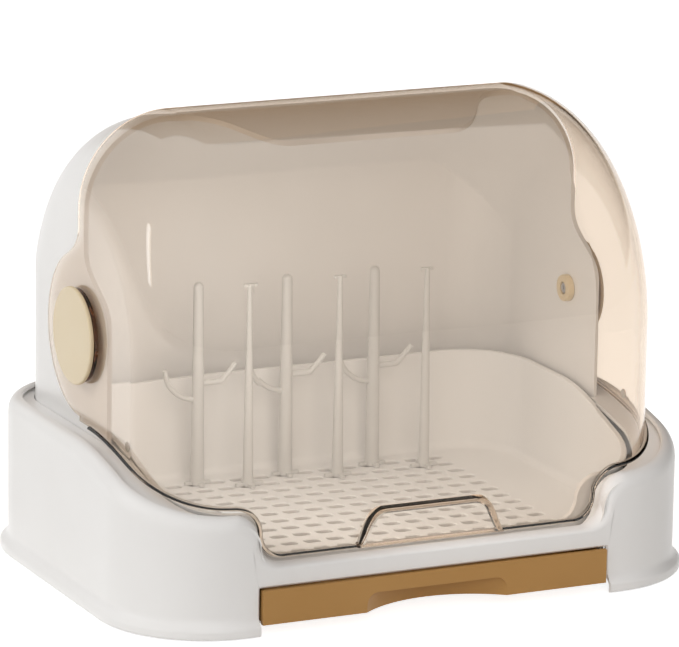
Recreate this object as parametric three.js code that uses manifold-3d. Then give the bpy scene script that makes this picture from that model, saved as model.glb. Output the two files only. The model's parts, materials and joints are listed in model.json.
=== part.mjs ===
// A countertop drying and storage box for baby bottles, in millimetres, with +Z up and +Y to the back.
// A white base carries a removable perforated basin, a drip drawer, a white rear cover and a clear lid.
// The lid is a half dome that swings up and back on two hinge stems, round one axis along X.
import * as THREE from 'three';
import { mergeGeometries, mergeVertices } from 'three/addons/utils/BufferGeometryUtils.js';
import Module from 'manifold-3d';

const wasm = await Module();
wasm.setup();

// Driving sizes of the base.
const body_half_width = 185;
const body_half_depth = 133.5;
const body_corner_radius = 62;
const body_wall = 2.8;
const foot_flare = 5;
const foot_height = 6.5;
const foot_blend_height = 7.5;
const foot_blend_flare_share = 0.35;
const foot_blend_outer_share = 0.45;
const foot_blend_inner_share = 0.4;
const foot_inner_drop_share = 0.3;
const ground_clearance = 1;

// The rolled rim of the base: how wide the roll is and how high its inner edge runs.
const roll_width = 9;
const roll_drop_front = 3;
const roll_drop_side = 9.5;
const roll_shift = 6;
const roll_sink_share = 0.05;
const rim_front_height = 42;
const rim_corner_height = 72.5;
const rim_side_height = 97;
const rim_step_inset = 72.5;
const rim_step_reach = 15;
const rim_rise_delay = 18.5;
const rim_rise_past_side = 100;
const rim_step_middle = body_half_width - rim_step_inset;
const rim_rise_start = rim_step_middle + rim_rise_delay;
const rim_rise_end = body_half_width + rim_rise_past_side;

// The deck inside the base. Its opening for drips lies inside the drawer and the basin.
const deck_bottom_height = 29.5;
const deck_thickness = 3;
const deck_opening_side_ledge = 8;
const deck_opening_front_ledge = 16;
const deck_opening_back_ledge = 18;
const deck_opening_radius = 8;

// The drip drawer, its mouth in the front wall and the finger recess under its front.
const drawer_corner_gap = 10;
const drawer_half_width = body_half_width - body_corner_radius - drawer_corner_gap;
const drawer_front_proud = 2.5;
const drawer_panel_thickness = 3.2;
const drawer_height = 20.7;
const drawer_bottom_height = 7.3;
const drawer_box_inset = 2.5;
const drawer_back_room = 55.5;
const drawer_box_drop = 1.2;
const drawer_wall = 2;
const drawer_corner_radius = 6;
const drawer_mouth_gap = 0.5;
const grip_half_width = 46;
const grip_depth = 23;
const grip_height = 10.6;
const grip_corner = 8;
const grip_corner_drop = 9;

// The two runners that carry the drawer.
const runner_web = 2.4;
const runner_web_gap = 1.2;
const runner_foot_width = 9.5;
const runner_foot_thickness = 2;
const runner_top_width = 12;
const runner_top_thickness = 2;
const runner_front_inset = 9.5;
const runner_back_inset = 49.5;

// The rubber feet and the bosses that carry them.
const pad_radius = 10;
const pad_thickness = 2.5;
const pad_boss_radius = 11;
const pad_inset_x = 35;
const pad_inset_y = 35.5;
const pad_place_x = body_half_width - pad_inset_x;
const pad_place_y = body_half_depth - pad_inset_y;

// The rear cover stands inside the base, and the hinge axis is placed so that the lid's front meets the rim.
const cover_side_gap = 21.5;
const cover_half_width = body_half_width - cover_side_gap;
const cover_back_gap = 12.5;
const cover_back = body_half_depth - cover_back_gap;
const cover_wall = 2.8;
const cover_roof_inset = 6;
const cover_roof_radius = body_half_depth - cover_roof_inset;
const cover_roof_fillet = 53;
const cover_back_fillet = 36;
const lid_wall = 2.5;
const lid_roof_gap = 3;
const lid_side_gap = 1.7;
const lid_front_inset = 11.5;
const lid_half_width = cover_half_width + lid_side_gap + lid_wall;
const lid_radius = cover_roof_radius + lid_roof_gap + lid_wall;
const hinge_y = lid_radius + lid_front_inset - body_half_depth;
const hinge_z = 152.5;

// The cover's ears, its roof edge with the visor in the middle, and its screw bosses.
const ear_front_reach = 36.5;
const ear_front = hinge_y - ear_front_reach;
const ear_upper_front = hinge_y;
const ear_step_bottom_rise = 10.5;
const ear_step_top_rise = 52.5;
const ear_step_bottom = hinge_z + ear_step_bottom_rise;
const ear_step_top = hinge_z + ear_step_top_rise;
const roof_edge_drop = 18;
const roof_edge_height = hinge_z + cover_roof_radius - roof_edge_drop;
const roof_edge_overlap = 4;
const visor_reach = 49;
const visor_front = hinge_y - visor_reach;
const visor_flat_side_gap = 111.5;
const visor_side_gap = 51.5;
const visor_flat_half_width = cover_half_width - visor_flat_side_gap;
const visor_half_width = cover_half_width - visor_side_gap;
const cover_boss_radius = 4.5;
const cover_boss_height = 17;
const cover_boss_inset = 6;
const cover_boss_front_inset = 25.5;
const cover_boss_back_inset = 41;
const cover_boss_front = ear_front + cover_boss_front_inset;
const cover_boss_back = cover_back - cover_boss_back_inset;

// The clear lid.
const lid_fillet = 57;
const lid_rear_overlap = 3;
const lid_rear_edge = hinge_y + lid_rear_overlap;
const lid_lobe_radius = 50;
const lid_lobe_start_degrees = 65;
const lid_lobe_notch_rise = 65.5;
const lid_lobe_notch_corner_rise = 53.5;
const lid_lobe_notch_height = hinge_z + lid_lobe_notch_rise;
const lid_lobe_notch_corner = hinge_z + lid_lobe_notch_corner_rise;
const lid_rim_gap = 1.3;
const lid_step_shift = 2;
const lid_edge_reach_share = 0.8;
const lid_bead_width = 2.6;
const lid_bead_height = 2.6;
const pull_bottom_half_width = 53;
const pull_top_half_width = 31;
const pull_height = 25;
const pull_corner = 10;
const pull_upper_corner = 14;
const pull_proud = 6;

// The removable drain basin, whose edge follows the rim of the base.
const basin_cover_gap = 3.7;
const basin_half_width = cover_half_width - cover_wall - basin_cover_gap;
const basin_front_gap = 17.5;
const basin_back_gap = 39.5;
const basin_front = basin_front_gap - body_half_depth;
const basin_back = body_half_depth - basin_back_gap;
const basin_corner_radius = 46;
const basin_wall = 2.2;
const basin_draft = 6;
const basin_floor_thickness = 2.4;
const basin_foot_round = 5;
const basin_foot_outer_share = 0.6;
const basin_foot_inner_share = 0.5;
const basin_lip_width = 1.6;
const basin_lip_height = 2.6;
const basin_front_drop = 1;
const basin_corner_drop = 3.5;
const basin_side_rise = 0.5;
const basin_front_height = rim_front_height - basin_front_drop;
const basin_corner_height = rim_corner_height - basin_corner_drop;
const basin_side_height = rim_side_height + basin_side_rise;
const basin_step_inset = 53;
const basin_step_reach = 14;
const basin_rise_delay = 18;
const basin_rise_past_side = 105;
const basin_step_middle = basin_half_width - basin_step_inset;
const basin_rise_start = basin_step_middle + basin_rise_delay;
const basin_rise_end = basin_half_width + basin_rise_past_side;

// The slots in the basin's floor, as many as its flat middle holds.
const slot_length = 10.5;
const slot_width = 7;
const slot_pitch_x = 15;
const slot_pitch_y = 15.5;
const slot_side_margin = 45;
const slot_front_margin = 24;
const slot_back_margin = 27;
const slot_last_row = basin_back - slot_back_margin;
const slot_columns = Math.floor(2 * (basin_half_width - slot_side_margin) / slot_pitch_x);
const slot_rows = 1 + Math.floor((slot_last_row - basin_front - slot_front_margin) / slot_pitch_y);

// The hinge pieces at each side.
const cap_radius = 29.5;
const cap_thickness = 4.4;
const cap_gap = 1.1;
const cap_edge_round = 1.2;
const journal_radius = 11;
const stem_radius = 6.2;
const stem_bore_radius = 1.5;
const stem_bore_depth = 7;
const bush_radius = 8.4;
const bush_thickness = 4.2;
const bush_bore_radius = 3.9;
const bush_floor = 1.4;
const washer_thickness = 0.8;
const washer_radius = 17;
const hinge_screw_head_radius = 3.4;
const hinge_screw_head_height = 1.8;
const hinge_screw_radius = 1.2;
const hinge_screw_length = 7;
const running_gap = 0.35;
const seat_gap = 0.3;

// Screws driven upward through the deck.
const screw_head_radius = 3.2;
const screw_head_height = 1.8;
const screw_radius = 1.5;
const screw_hole_radius = 1.9;
const cover_screw_length = 17;
const runner_screw_length = 4.6;

// The silicone bumpers on the flat of the lid's sides.
const bumper_radius = 3;
const bumper_thickness = 0.9;
const bumper_inset = 6;
const bumper_rise = 4;
const bumper_y = hinge_y - lid_radius + lid_fillet + bumper_inset;
const bumper_z = rim_side_height + bumper_rise;

// The loose pegs that plug into the slots.
const peg_height = 128;
const peg_pin_radius = 2.9;
const peg_pin_length = 5;
const peg_pin_tip_share = 0.7;
const peg_foot_half_span = 9;
const peg_foot_thickness = 2;
const peg_foot_width = 3.2;
const straight_peg_foot_radius = 3.6;
const straight_peg_top_radius = 1.6;
const straight_peg_bar_half_length = 4.2;
const straight_peg_bar_thickness = 1.8;
const branch_peg_foot_radius = 4.6;
const branch_peg_top_radius = 3.2;
const branch_peg_shoulder_radius_share = 0.75;
const branch_peg_shoulder_drop_share = 0.4;
const branch_arm_radius = 1.7;
const low_arm_reach = 24;
const high_arm_reach = 26.4;
const low_arm_height_share = 0.42;
const low_arm_tip_share = 0.58;
const high_arm_height_share = 0.5;
const high_arm_tip_share = 0.58;
const low_arm_shares = [[0, 0], [0.45, 0.12], [0.85, 0.5], [1, 1]];
const high_arm_shares = [[0, 0], [0.55, 0], [0.7, 0.2], [1, 1]];
const peg_pair_count = 3;
const peg_step_count = 4;

// One overrun lets every cut pass through its wall.
const overrun = 20;

// How finely round shapes are divided.
const round_sides = 24;
const small_sides = 10;
const corner_steps = 6;
const roll_steps = 3;
const dome_fillet_steps = 7;
const dome_arc_steps = 22;
const rim_step_sections = 5;
const rim_rise_sections = 8;
const basin_step_sections = 4;
const basin_rise_sections = 6;
const drawer_corner_steps = 3;
const grip_sides = 48;
const arm_steps = 10;
const arm_side_steps = 4;
const least_section_share = 0.025;

// Colours and finishes.
const white_plastic = { color: 0xf1f0ee, roughness: 0.32, metalness: 0 };
const amber_plastic = { color: 0xc9ab8b, roughness: 0.08, metalness: 0, transparent: true, opacity: 0.45 };
const tan_plastic = { color: 0xe0cfae, roughness: 0.35, metalness: 0 };
const brown_plastic = { color: 0xa37d4b, roughness: 0.4, metalness: 0 };
const grey_rubber = { color: 0x8d8b88, roughness: 0.8, metalness: 0 };
const milky_silicone = { color: 0xb9b3ac, roughness: 0.6, metalness: 0 };
const peg_plastic = { color: 0xd9d8d5, roughness: 0.35, metalness: 0 };
const screw_steel = { color: 0xa7a9ab, roughness: 0.35, metalness: 0.9 };

const box = new THREE.Group();

// Turn a closed three.js geometry into a solid that can be joined and cut.
function solid(geometry) {
  const bare = geometry.index ? geometry.clone() : geometry;
  bare.deleteAttribute('normal');
  bare.deleteAttribute('uv');
  const merged = mergeVertices(bare);
  const vertProperties = new Float32Array(merged.attributes.position.array);
  const triVerts = new Uint32Array(merged.index.array);
  return new wasm.Manifold(new wasm.Mesh({ numProp: 3, vertProperties, triVerts }));
}

// Turn a finished solid back into a three.js geometry.
function geometryOf(manifold) {
  const mesh = manifold.getMesh();
  const geometry = new THREE.BufferGeometry();
  geometry.setAttribute('position', new THREE.BufferAttribute(mesh.vertProperties, mesh.numProp));
  geometry.setIndex(new THREE.BufferAttribute(mesh.triVerts, 1));
  return geometry;
}

// Add one named piece to the object.
function addPiece(name, shape, finish) {
  const geometry = shape.isBufferGeometry ? shape : geometryOf(shape);
  geometry.computeVertexNormals();
  const mesh = new THREE.Mesh(geometry, new THREE.MeshStandardMaterial(finish));
  mesh.name = name;
  box.add(mesh);
}

// Join a list of solids.
function joined(list) {
  return list.reduce((whole, next) => whole.add(next));
}

// An outline drawn out by a depth along Z.
function drawnOut(shape, depth, curveSegments) {
  return new THREE.ExtrudeGeometry(shape, { depth, bevelEnabled: false, curveSegments });
}

// A straight prism of a plan outline, from one height to another.
function prismZ(shape, low, high, curveSegments = corner_steps) {
  return solid(drawnOut(shape, high - low, curveSegments).translate(0, 0, low));
}

// A prism along X of an outline drawn in Y and Z.
function prismX(shape, left, right, curveSegments = corner_steps) {
  const geometry = drawnOut(shape, right - left, curveSegments);
  geometry.rotateZ(Math.PI / 2);
  geometry.rotateY(Math.PI / 2);
  return solid(geometry.translate(left, 0, 0));
}

// A prism along Y of an outline drawn in X and Z.
function prismY(shape, front, back, curveSegments = corner_steps) {
  const geometry = drawnOut(shape, back - front, curveSegments);
  geometry.rotateX(Math.PI / 2);
  return solid(geometry.translate(0, back, 0));
}

// A plain block between two corners.
function block(low, high) {
  const size = high.map((value, axis) => value - low[axis]);
  const geometry = new THREE.BoxGeometry(...size);
  geometry.translate(...high.map((value, axis) => (value + low[axis]) / 2));
  return solid(geometry);
}

// A rounded rectangle in plan.
function roundedPlan(left, right, front, back, radius) {
  const shape = new THREE.Shape();
  shape.moveTo(left + radius, front);
  shape.lineTo(right - radius, front);
  shape.absarc(right - radius, front + radius, radius, -Math.PI / 2, 0);
  shape.lineTo(right, back - radius);
  shape.absarc(right - radius, back - radius, radius, 0, Math.PI / 2);
  shape.lineTo(left + radius, back);
  shape.absarc(left + radius, back - radius, radius, Math.PI / 2, Math.PI);
  shape.lineTo(left, front + radius);
  shape.absarc(left + radius, front + radius, radius, Math.PI, Math.PI * 1.5);
  return shape;
}

// A turned piece: its profile lists radius and height, and its axis stands up at x and y.
function turnedZ(profile, x, y, sides = round_sides) {
  const points = profile.map(([radius, height]) => new THREE.Vector2(radius, height));
  return new THREE.LatheGeometry(points, sides).rotateX(Math.PI / 2).translate(x, y, 0);
}

// A turned piece on the hinge axis: heights in its profile count from the middle of the object.
function turnedOnHinge(profile, side, y = hinge_y, z = hinge_z, sides = round_sides) {
  const points = profile.map(([radius, height]) => new THREE.Vector2(radius, height));
  const geometry = new THREE.LatheGeometry(points, sides).rotateZ(-side * Math.PI / 2);
  return geometry.translate(0, y, z);
}

// A round bar on the hinge axis.
function barOnHinge(radius, from, to, side, y = hinge_y, z = hinge_z, sides = round_sides) {
  return turnedOnHinge([[0, from], [radius, from], [radius, to], [0, to]], side, y, z, sides);
}

// The round hole that a hinge shaft of the given radius turns in, through a wall at the given place.
function hingeBore(radius, place, side) {
  return solid(barOnHinge(radius + running_gap, place - overrun, place + overrun, side));
}

// A place on a rounded rectangle, found by its distance along the outline from the middle of the front.
function outlinePlace(plan, distance) {
  const straight = plan.halfWidth - plan.radius;
  const quarter = plan.radius * Math.PI / 2;
  const side = plan.back - plan.front - 2 * plan.radius;
  let left = distance;
  if (left <= straight) return { x: left, y: plan.front, nx: 0, ny: -1 };
  left -= straight;
  if (left <= quarter) {
    const turn = left / plan.radius;
    const x = straight + plan.radius * Math.sin(turn);
    const y = plan.front + plan.radius - plan.radius * Math.cos(turn);
    return { x, y, nx: Math.sin(turn), ny: -Math.cos(turn) };
  }
  left -= quarter;
  if (left <= side) return { x: plan.halfWidth, y: plan.front + plan.radius + left, nx: 1, ny: 0 };
  left -= side;
  if (left <= quarter) {
    const turn = left / plan.radius;
    const x = straight + plan.radius * Math.cos(turn);
    const y = plan.back - plan.radius + plan.radius * Math.sin(turn);
    return { x, y, nx: Math.cos(turn), ny: Math.sin(turn) };
  }
  left -= quarter;
  return { x: straight - left, y: plan.back, nx: 0, ny: 1 };
}

// Half the length of a rounded rectangle.
function halfOutline(plan) {
  const side = plan.back - plan.front - 2 * plan.radius;
  return 2 * (plan.halfWidth - plan.radius) + plan.radius * Math.PI + side;
}

function smooth(value) {
  const held = Math.min(Math.max(value, 0), 1);
  return held * held * (3 - 2 * held);
}

// How far up the steep front step an edge has come: 0 along the front, 1 past the step.
function stepShare(edge, distance) {
  const place = Math.min(Math.max((distance - edge.middle) / edge.reach, -1), 1);
  if (place < 0) return (1 - Math.sqrt(1 - (place + 1) ** 2)) / 2;
  return (1 + Math.sqrt(1 - (1 - place) ** 2)) / 2;
}

// The height of an edge that steps up beside the front and then rises gently round the corner.
function edgeHeight(edge, distance) {
  const step = edge.front + (edge.corner - edge.front) * stepShare(edge, distance);
  const rise = smooth((distance - edge.riseStart) / (edge.riseEnd - edge.riseStart));
  return step + (edge.side - edge.corner) * rise;
}

// Where a loft along such an edge puts its sections: close together on the step, wide elsewhere.
function edgeStations(plan, edge, stepCount, riseCount) {
  const half = halfOutline(plan);
  const straight = plan.halfWidth - plan.radius;
  const quarter = plan.radius * Math.PI / 2;
  const stations = [0, (edge.middle - edge.reach) / 2];
  for (let index = 0; index <= stepCount; index += 1) {
    const angle = Math.PI / 2 * index / stepCount;
    stations.push(edge.middle - edge.reach * (1 - Math.sin(angle)));
    stations.push(edge.middle + edge.reach * (1 - Math.sin(angle)));
  }
  const afterStep = edge.middle + edge.reach;
  for (let index = 1; index <= riseCount; index += 1) {
    stations.push(afterStep + (edge.riseEnd - afterStep) * index / riseCount);
  }
  const backTurn = half - straight - quarter;
  for (let index = 0; index <= corner_steps; index += 1) {
    stations.push(backTurn + quarter * index / corner_steps);
  }
  stations.push(half);
  stations.sort((a, b) => a - b);
  const apart = plan.radius / corner_steps * least_section_share;
  return stations.filter((value, index) => index === 0 || value - stations[index - 1] > apart);
}

// Join rows of points into one closed skin that runs round in both directions.
function closedLoft(rows) {
  const count = rows[0].length;
  const positions = rows.flat().flat();
  const index = [];
  rows.forEach((row, rowNumber) => {
    const next = (rowNumber + 1) % rows.length;
    for (let place = 0; place < count; place += 1) {
      const beside = (place + 1) % count;
      const a = rowNumber * count + place;
      const b = rowNumber * count + beside;
      const c = next * count + beside;
      const d = next * count + place;
      index.push(a, d, b, b, d, c);
    }
  });
  const geometry = new THREE.BufferGeometry();
  geometry.setAttribute('position', new THREE.Float32BufferAttribute(positions, 3));
  geometry.setIndex(index);
  return solid(geometry);
}

// Sweep a section round a rounded rectangle; the section gives [outward offset, height, shift along].
function sweptWall(plan, stations, sectionAt) {
  const half = halfOutline(plan);
  const rowAt = (distance, side) => sectionAt(distance).map(([offset, height, shift = 0]) => {
    const place = outlinePlace(plan, Math.min(distance + shift, half));
    return [side * (place.x + place.nx * offset), place.y + place.ny * offset, height];
  });
  const right = stations.map((distance) => rowAt(distance, 1));
  const left = stations.slice(1, -1).reverse().map((distance) => rowAt(distance, -1));
  return closedLoft([...right, ...left]);
}

// A dome round the hinge axis: an arch over two upright walls, drawn along X with its ends rounded over.
function dome({ radius, halfWidth, fillet }, bottom, skin) {
  const profile = [{ y: hinge_y - radius, z: bottom, ny: -1, nz: 0 }];
  for (let index = 0; index <= dome_arc_steps; index += 1) {
    const angle = Math.PI * (1 - index / dome_arc_steps);
    const ny = Math.cos(angle);
    const nz = Math.sin(angle);
    profile.push({ y: hinge_y + radius * ny, z: hinge_z + radius * nz, ny, nz });
  }
  profile.push({ y: hinge_y + radius, z: bottom, ny: 1, nz: 0 });
  const reach = fillet - skin;
  const rows = profile.map(({ y, z, ny, nz }) => {
    const row = [];
    for (let index = 0; index <= dome_fillet_steps; index += 1) {
      const angle = Math.PI / 2 * index / dome_fillet_steps;
      const outward = reach * Math.sin(angle) - fillet;
      row.push([halfWidth - fillet + reach * Math.cos(angle), y + ny * outward, z + nz * outward]);
    }
    return [...row, ...row.map(([x, py, pz]) => [-x, py, pz]).reverse()];
  });
  const count = rows[0].length;
  const index = [];
  for (let rowNumber = 0; rowNumber < rows.length - 1; rowNumber += 1) {
    for (let place = 0; place < count - 1; place += 1) {
      const a = rowNumber * count + place;
      const b = a + 1;
      const c = a + count + 1;
      const d = a + count;
      index.push(a, d, b, b, d, c);
    }
  }
  const last = (rows.length - 1) * count;
  closeFace(index, rows.map((row) => [row[0][1], row[0][2]]), (place) => place * count, false);
  closeFace(index, rows.map((row) => [row[0][1], row[0][2]]), (place) => (place + 1) * count - 1, true);
  const frontFoot = rows[0].map(([x, y]) => [x, y]);
  const backFoot = rows[rows.length - 1].map(([x, y]) => [x, y]);
  const foot = [...frontFoot, ...backFoot.reverse()];
  closeFace(index, foot, (place) => (place < count ? place : last + 2 * count - 1 - place), true);
  const geometry = new THREE.BufferGeometry();
  geometry.setAttribute('position', new THREE.Float32BufferAttribute(rows.flat().flat(), 3));
  geometry.setIndex(index);
  return solid(geometry);
}

// Close a flat face with triangles between the points that already lie on its edge.
function closeFace(index, outline, vertexAt, flip) {
  const contour = outline.map(([a, b]) => new THREE.Vector2(a, b));
  THREE.ShapeUtils.triangulateShape(contour, []).forEach(([a, b, c]) => {
    if (flip) index.push(vertexAt(a), vertexAt(c), vertexAt(b));
    else index.push(vertexAt(a), vertexAt(b), vertexAt(c));
  });
}

// Plans and edges shared by the base, the lid and the basin.
const body_plan = {
  halfWidth: body_half_width,
  front: -body_half_depth,
  back: body_half_depth,
  radius: body_corner_radius,
};
const rim_edge = {
  front: rim_front_height,
  corner: rim_corner_height,
  side: rim_side_height,
  middle: rim_step_middle,
  reach: rim_step_reach,
  riseStart: rim_rise_start,
  riseEnd: rim_rise_end,
};
const deck_top_height = deck_bottom_height + deck_thickness;
const body_front = -body_half_depth;
const drawer_front = body_front - drawer_front_proud;
const drawer_top_height = drawer_bottom_height + drawer_height;
const mouth_half_width = drawer_half_width + drawer_mouth_gap;
const mouth_top_height = drawer_top_height + drawer_mouth_gap;

const cover_screw_places = [-1, 1].flatMap((side) => (
  [cover_boss_front, cover_boss_back].map((y) => [side * (cover_half_width - cover_boss_inset), y])
));
const runner_front = body_front + runner_front_inset;
const runner_back = body_half_depth - runner_back_inset;
const runner_web_inner = mouth_half_width + runner_web_gap;
const runner_web_outer = runner_web_inner + runner_web;
const runner_screw_x = runner_web_outer + (runner_top_width - runner_web) / 2;
const runner_screw_places = [-1, 1].flatMap((side) => (
  [runner_front + runner_top_width, runner_back - runner_top_width].map((y) => [side * runner_screw_x, y])
));
const pad_places = [
  ['front_left', -pad_place_x, -pad_place_y],
  ['front_right', pad_place_x, -pad_place_y],
  ['back_left', -pad_place_x, pad_place_y],
  ['back_right', pad_place_x, pad_place_y],
];

// The drip opening in the deck.
const deck_opening_half_width = drawer_half_width - deck_opening_side_ledge;
const deck_opening_front = basin_front + deck_opening_front_ledge;
const deck_opening_back = basin_back - deck_opening_back_ledge;

// The base: a thin wall with a flared foot and a rolled rim, and a deck with bosses inside it.
function makeBase() {
  const stations = edgeStations(body_plan, rim_edge, rim_step_sections, rim_rise_sections);
  const wall = sweptWall(body_plan, stations, baseSection);
  const deckInset = body_wall / 2;
  const deckOutline = roundedPlan(
    -body_half_width + deckInset,
    body_half_width - deckInset,
    body_front + deckInset,
    body_half_depth - deckInset,
    body_corner_radius - deckInset,
  );
  const opening = roundedPlan(
    -deck_opening_half_width,
    deck_opening_half_width,
    deck_opening_front,
    deck_opening_back,
    deck_opening_radius,
  );
  deckOutline.holes.push(opening);
  const deck = prismZ(deckOutline, deck_bottom_height, deck_top_height);
  const bosses = pad_places.map(([, x, y]) => solid(turnedZ([
    [0, pad_thickness + seat_gap],
    [pad_boss_radius, pad_thickness + seat_gap],
    [pad_boss_radius, deck_bottom_height + deck_thickness / 2],
    [0, deck_bottom_height + deck_thickness / 2],
  ], x, y, small_sides)));
  const mouth = block(
    [-mouth_half_width, body_front - foot_flare - overrun, ground_clearance - overrun],
    [mouth_half_width, body_front + body_wall + overrun, mouth_top_height],
  );
  const holes = [...cover_screw_places, ...runner_screw_places].map(([x, y]) => solid(turnedZ([
    [0, deck_bottom_height - overrun],
    [screw_hole_radius, deck_bottom_height - overrun],
    [screw_hole_radius, deck_top_height + overrun],
    [0, deck_top_height + overrun],
  ], x, y, small_sides)));
  let base = joined([wall, deck, ...bosses]).subtract(mouth);
  holes.forEach((hole) => { base = base.subtract(hole); });
  addPiece('base_housing', base, white_plastic);
}

// One section of the base wall, from the outside of the foot up, over the roll and down inside.
function baseSection(distance) {
  const top = edgeHeight(rim_edge, distance);
  const share = stepShare(rim_edge, distance);
  const drop = roll_drop_front + (roll_drop_side - roll_drop_front) * share;
  const apart = Math.max(Math.abs(distance - rim_edge.middle) - rim_edge.reach, 0) / rim_edge.reach;
  const shift = roll_shift * (1 - smooth(apart));
  const blend = foot_height + foot_blend_height;
  const outside = [
    [foot_flare, ground_clearance],
    [foot_flare, foot_height],
    [foot_flare * foot_blend_flare_share, foot_height + foot_blend_height * foot_blend_outer_share],
    [0, blend],
  ];
  const outerRoll = [];
  const innerRoll = [];
  for (let index = 0; index <= roll_steps; index += 1) {
    const angle = Math.PI / 2 * (1 - index / roll_steps);
    const along = shift * (1 - Math.cos(angle));
    outerRoll.push([-roll_width * (1 - Math.sin(angle)), top - drop * (1 - Math.cos(angle)), along]);
    innerRoll.push([
      -roll_width + (roll_width - body_wall) * Math.sin(angle),
      top - drop + Math.max(drop - body_wall, 0) * Math.cos(angle) - body_wall * roll_sink_share,
      along,
    ]);
  }
  const inside = [
    [-body_wall, blend],
    [
      foot_flare * foot_blend_flare_share - body_wall,
      foot_height + foot_blend_height * foot_blend_inner_share,
    ],
    [foot_flare - body_wall, foot_height - body_wall * foot_inner_drop_share],
    [foot_flare - body_wall, ground_clearance],
  ];
  return [...outside, ...outerRoll, ...innerRoll.reverse(), ...inside];
}

// The front outline of the finger recess: upright ends that round over into a level top.
function gripOutline(grown) {
  const half = grip_half_width + grown;
  const top = drawer_bottom_height + grip_height + grown;
  const shape = new THREE.Shape();
  shape.moveTo(-half, drawer_bottom_height - overrun);
  shape.lineTo(half, drawer_bottom_height - overrun);
  shape.lineTo(half, top - grip_corner_drop);
  shape.quadraticCurveTo(half, top, half - grip_corner, top);
  shape.lineTo(-half + grip_corner, top);
  shape.quadraticCurveTo(-half, top, -half, top - grip_corner_drop);
  return shape;
}

// The finger recess in plan is a piece of a circle, deepest in the middle.
function gripSpace(grown) {
  const radius = (grip_half_width ** 2 + grip_depth ** 2) / (2 * grip_depth);
  const centre = drawer_front + grip_depth - radius;
  const round = solid(turnedZ([
    [0, drawer_bottom_height - overrun],
    [radius + grown, drawer_bottom_height - overrun],
    [radius + grown, drawer_top_height + overrun],
    [0, drawer_top_height + overrun],
  ], 0, centre, grip_sides));
  const back = drawer_front + grip_depth + overrun;
  return round.intersect(prismY(gripOutline(grown), drawer_front - overrun, back));
}

// The drawer: a shallow tray with a finger recess scooped out under its front.
function makeDrawer() {
  const boxHalf = drawer_half_width - drawer_box_inset;
  const boxFront = drawer_front + drawer_panel_thickness / 2;
  const boxBack = body_half_depth - drawer_back_room;
  const boxTop = drawer_top_height - drawer_box_drop;
  const outer = prismZ(
    roundedPlan(-boxHalf, boxHalf, boxFront, boxBack, drawer_wall),
    drawer_bottom_height,
    boxTop,
    drawer_corner_steps,
  );
  const panel = block(
    [-drawer_half_width, drawer_front, drawer_bottom_height],
    [drawer_half_width, drawer_front + drawer_panel_thickness, drawer_top_height],
  );
  const cavity = prismZ(
    roundedPlan(
      -boxHalf + drawer_wall,
      boxHalf - drawer_wall,
      drawer_front + drawer_panel_thickness,
      boxBack - drawer_wall,
      drawer_corner_radius,
    ),
    drawer_bottom_height + drawer_wall,
    drawer_top_height + overrun,
    drawer_corner_steps,
  );
  const drawer = joined([outer, panel])
    .subtract(cavity.subtract(gripSpace(drawer_wall)))
    .subtract(gripSpace(0));
  addPiece('drip_drawer', drawer, brown_plastic);
}

// The runners hang under the deck, and their feet carry the drawer's edges.
function makeRunner(name, side) {
  const top = deck_bottom_height - seat_gap;
  const footTop = drawer_bottom_height - seat_gap;
  const shape = new THREE.Shape();
  const points = [
    [runner_web_outer - runner_foot_width, footTop - runner_foot_thickness],
    [runner_web_outer, footTop - runner_foot_thickness],
    [runner_web_outer, top - runner_top_thickness],
    [runner_web_inner + runner_top_width, top - runner_top_thickness],
    [runner_web_inner + runner_top_width, top],
    [runner_web_inner, top],
    [runner_web_inner, footTop],
    [runner_web_outer - runner_foot_width, footTop],
  ];
  const ordered = side > 0 ? points : points.map(([x, z]) => [-x, z]).reverse();
  ordered.forEach(([x, z], index) => (index ? shape.lineTo(x, z) : shape.moveTo(x, z)));
  let runner = prismY(shape, runner_front, runner_back);
  runner_screw_places.filter(([x]) => x * side > 0).forEach(([x, y]) => {
    runner = runner.subtract(solid(turnedZ([
      [0, top - overrun],
      [screw_hole_radius, top - overrun],
      [screw_hole_radius, top + overrun],
      [0, top + overrun],
    ], x, y, small_sides)));
  });
  addPiece(name, runner, white_plastic);
}

// A set of like screws, each driven upward with its head under the given height.
function makeScrews(name, places, headTop, length) {
  places.forEach(([x, y], index) => addPiece(`${name}_${index + 1}`, solid(turnedZ([
    [0, headTop - screw_head_height],
    [screw_head_radius, headTop - screw_head_height],
    [screw_head_radius, headTop],
    [screw_radius, headTop],
    [screw_radius, headTop + length],
    [0, headTop + length],
  ], x, y, small_sides)), screw_steel));
}

// The rubber pads under the four bosses are what the box stands on.
function makePads() {
  pad_places.forEach(([place, x, y]) => {
    const pad = turnedZ([[0, 0], [pad_radius, 0], [pad_radius, pad_thickness], [0, pad_thickness]], x, y);
    addPiece(`foot_pad_${place}`, solid(pad), grey_rubber);
  });
}

const basin_plan = {
  halfWidth: basin_half_width,
  front: basin_front,
  back: basin_back,
  radius: basin_corner_radius,
};
const basin_edge = {
  front: basin_front_height,
  corner: basin_corner_height,
  side: basin_side_height,
  middle: basin_step_middle,
  reach: basin_step_reach,
  riseStart: basin_rise_start,
  riseEnd: basin_rise_end,
};
const basin_bottom_height = deck_top_height + seat_gap;
const basin_floor_top = basin_bottom_height + basin_floor_thickness;

// How far a basin wall leans in at a height.
function basinLean(height) {
  const share = (basin_side_height - height) / (basin_side_height - basin_floor_top);
  return -basin_draft * Math.max(share, 0);
}

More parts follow.
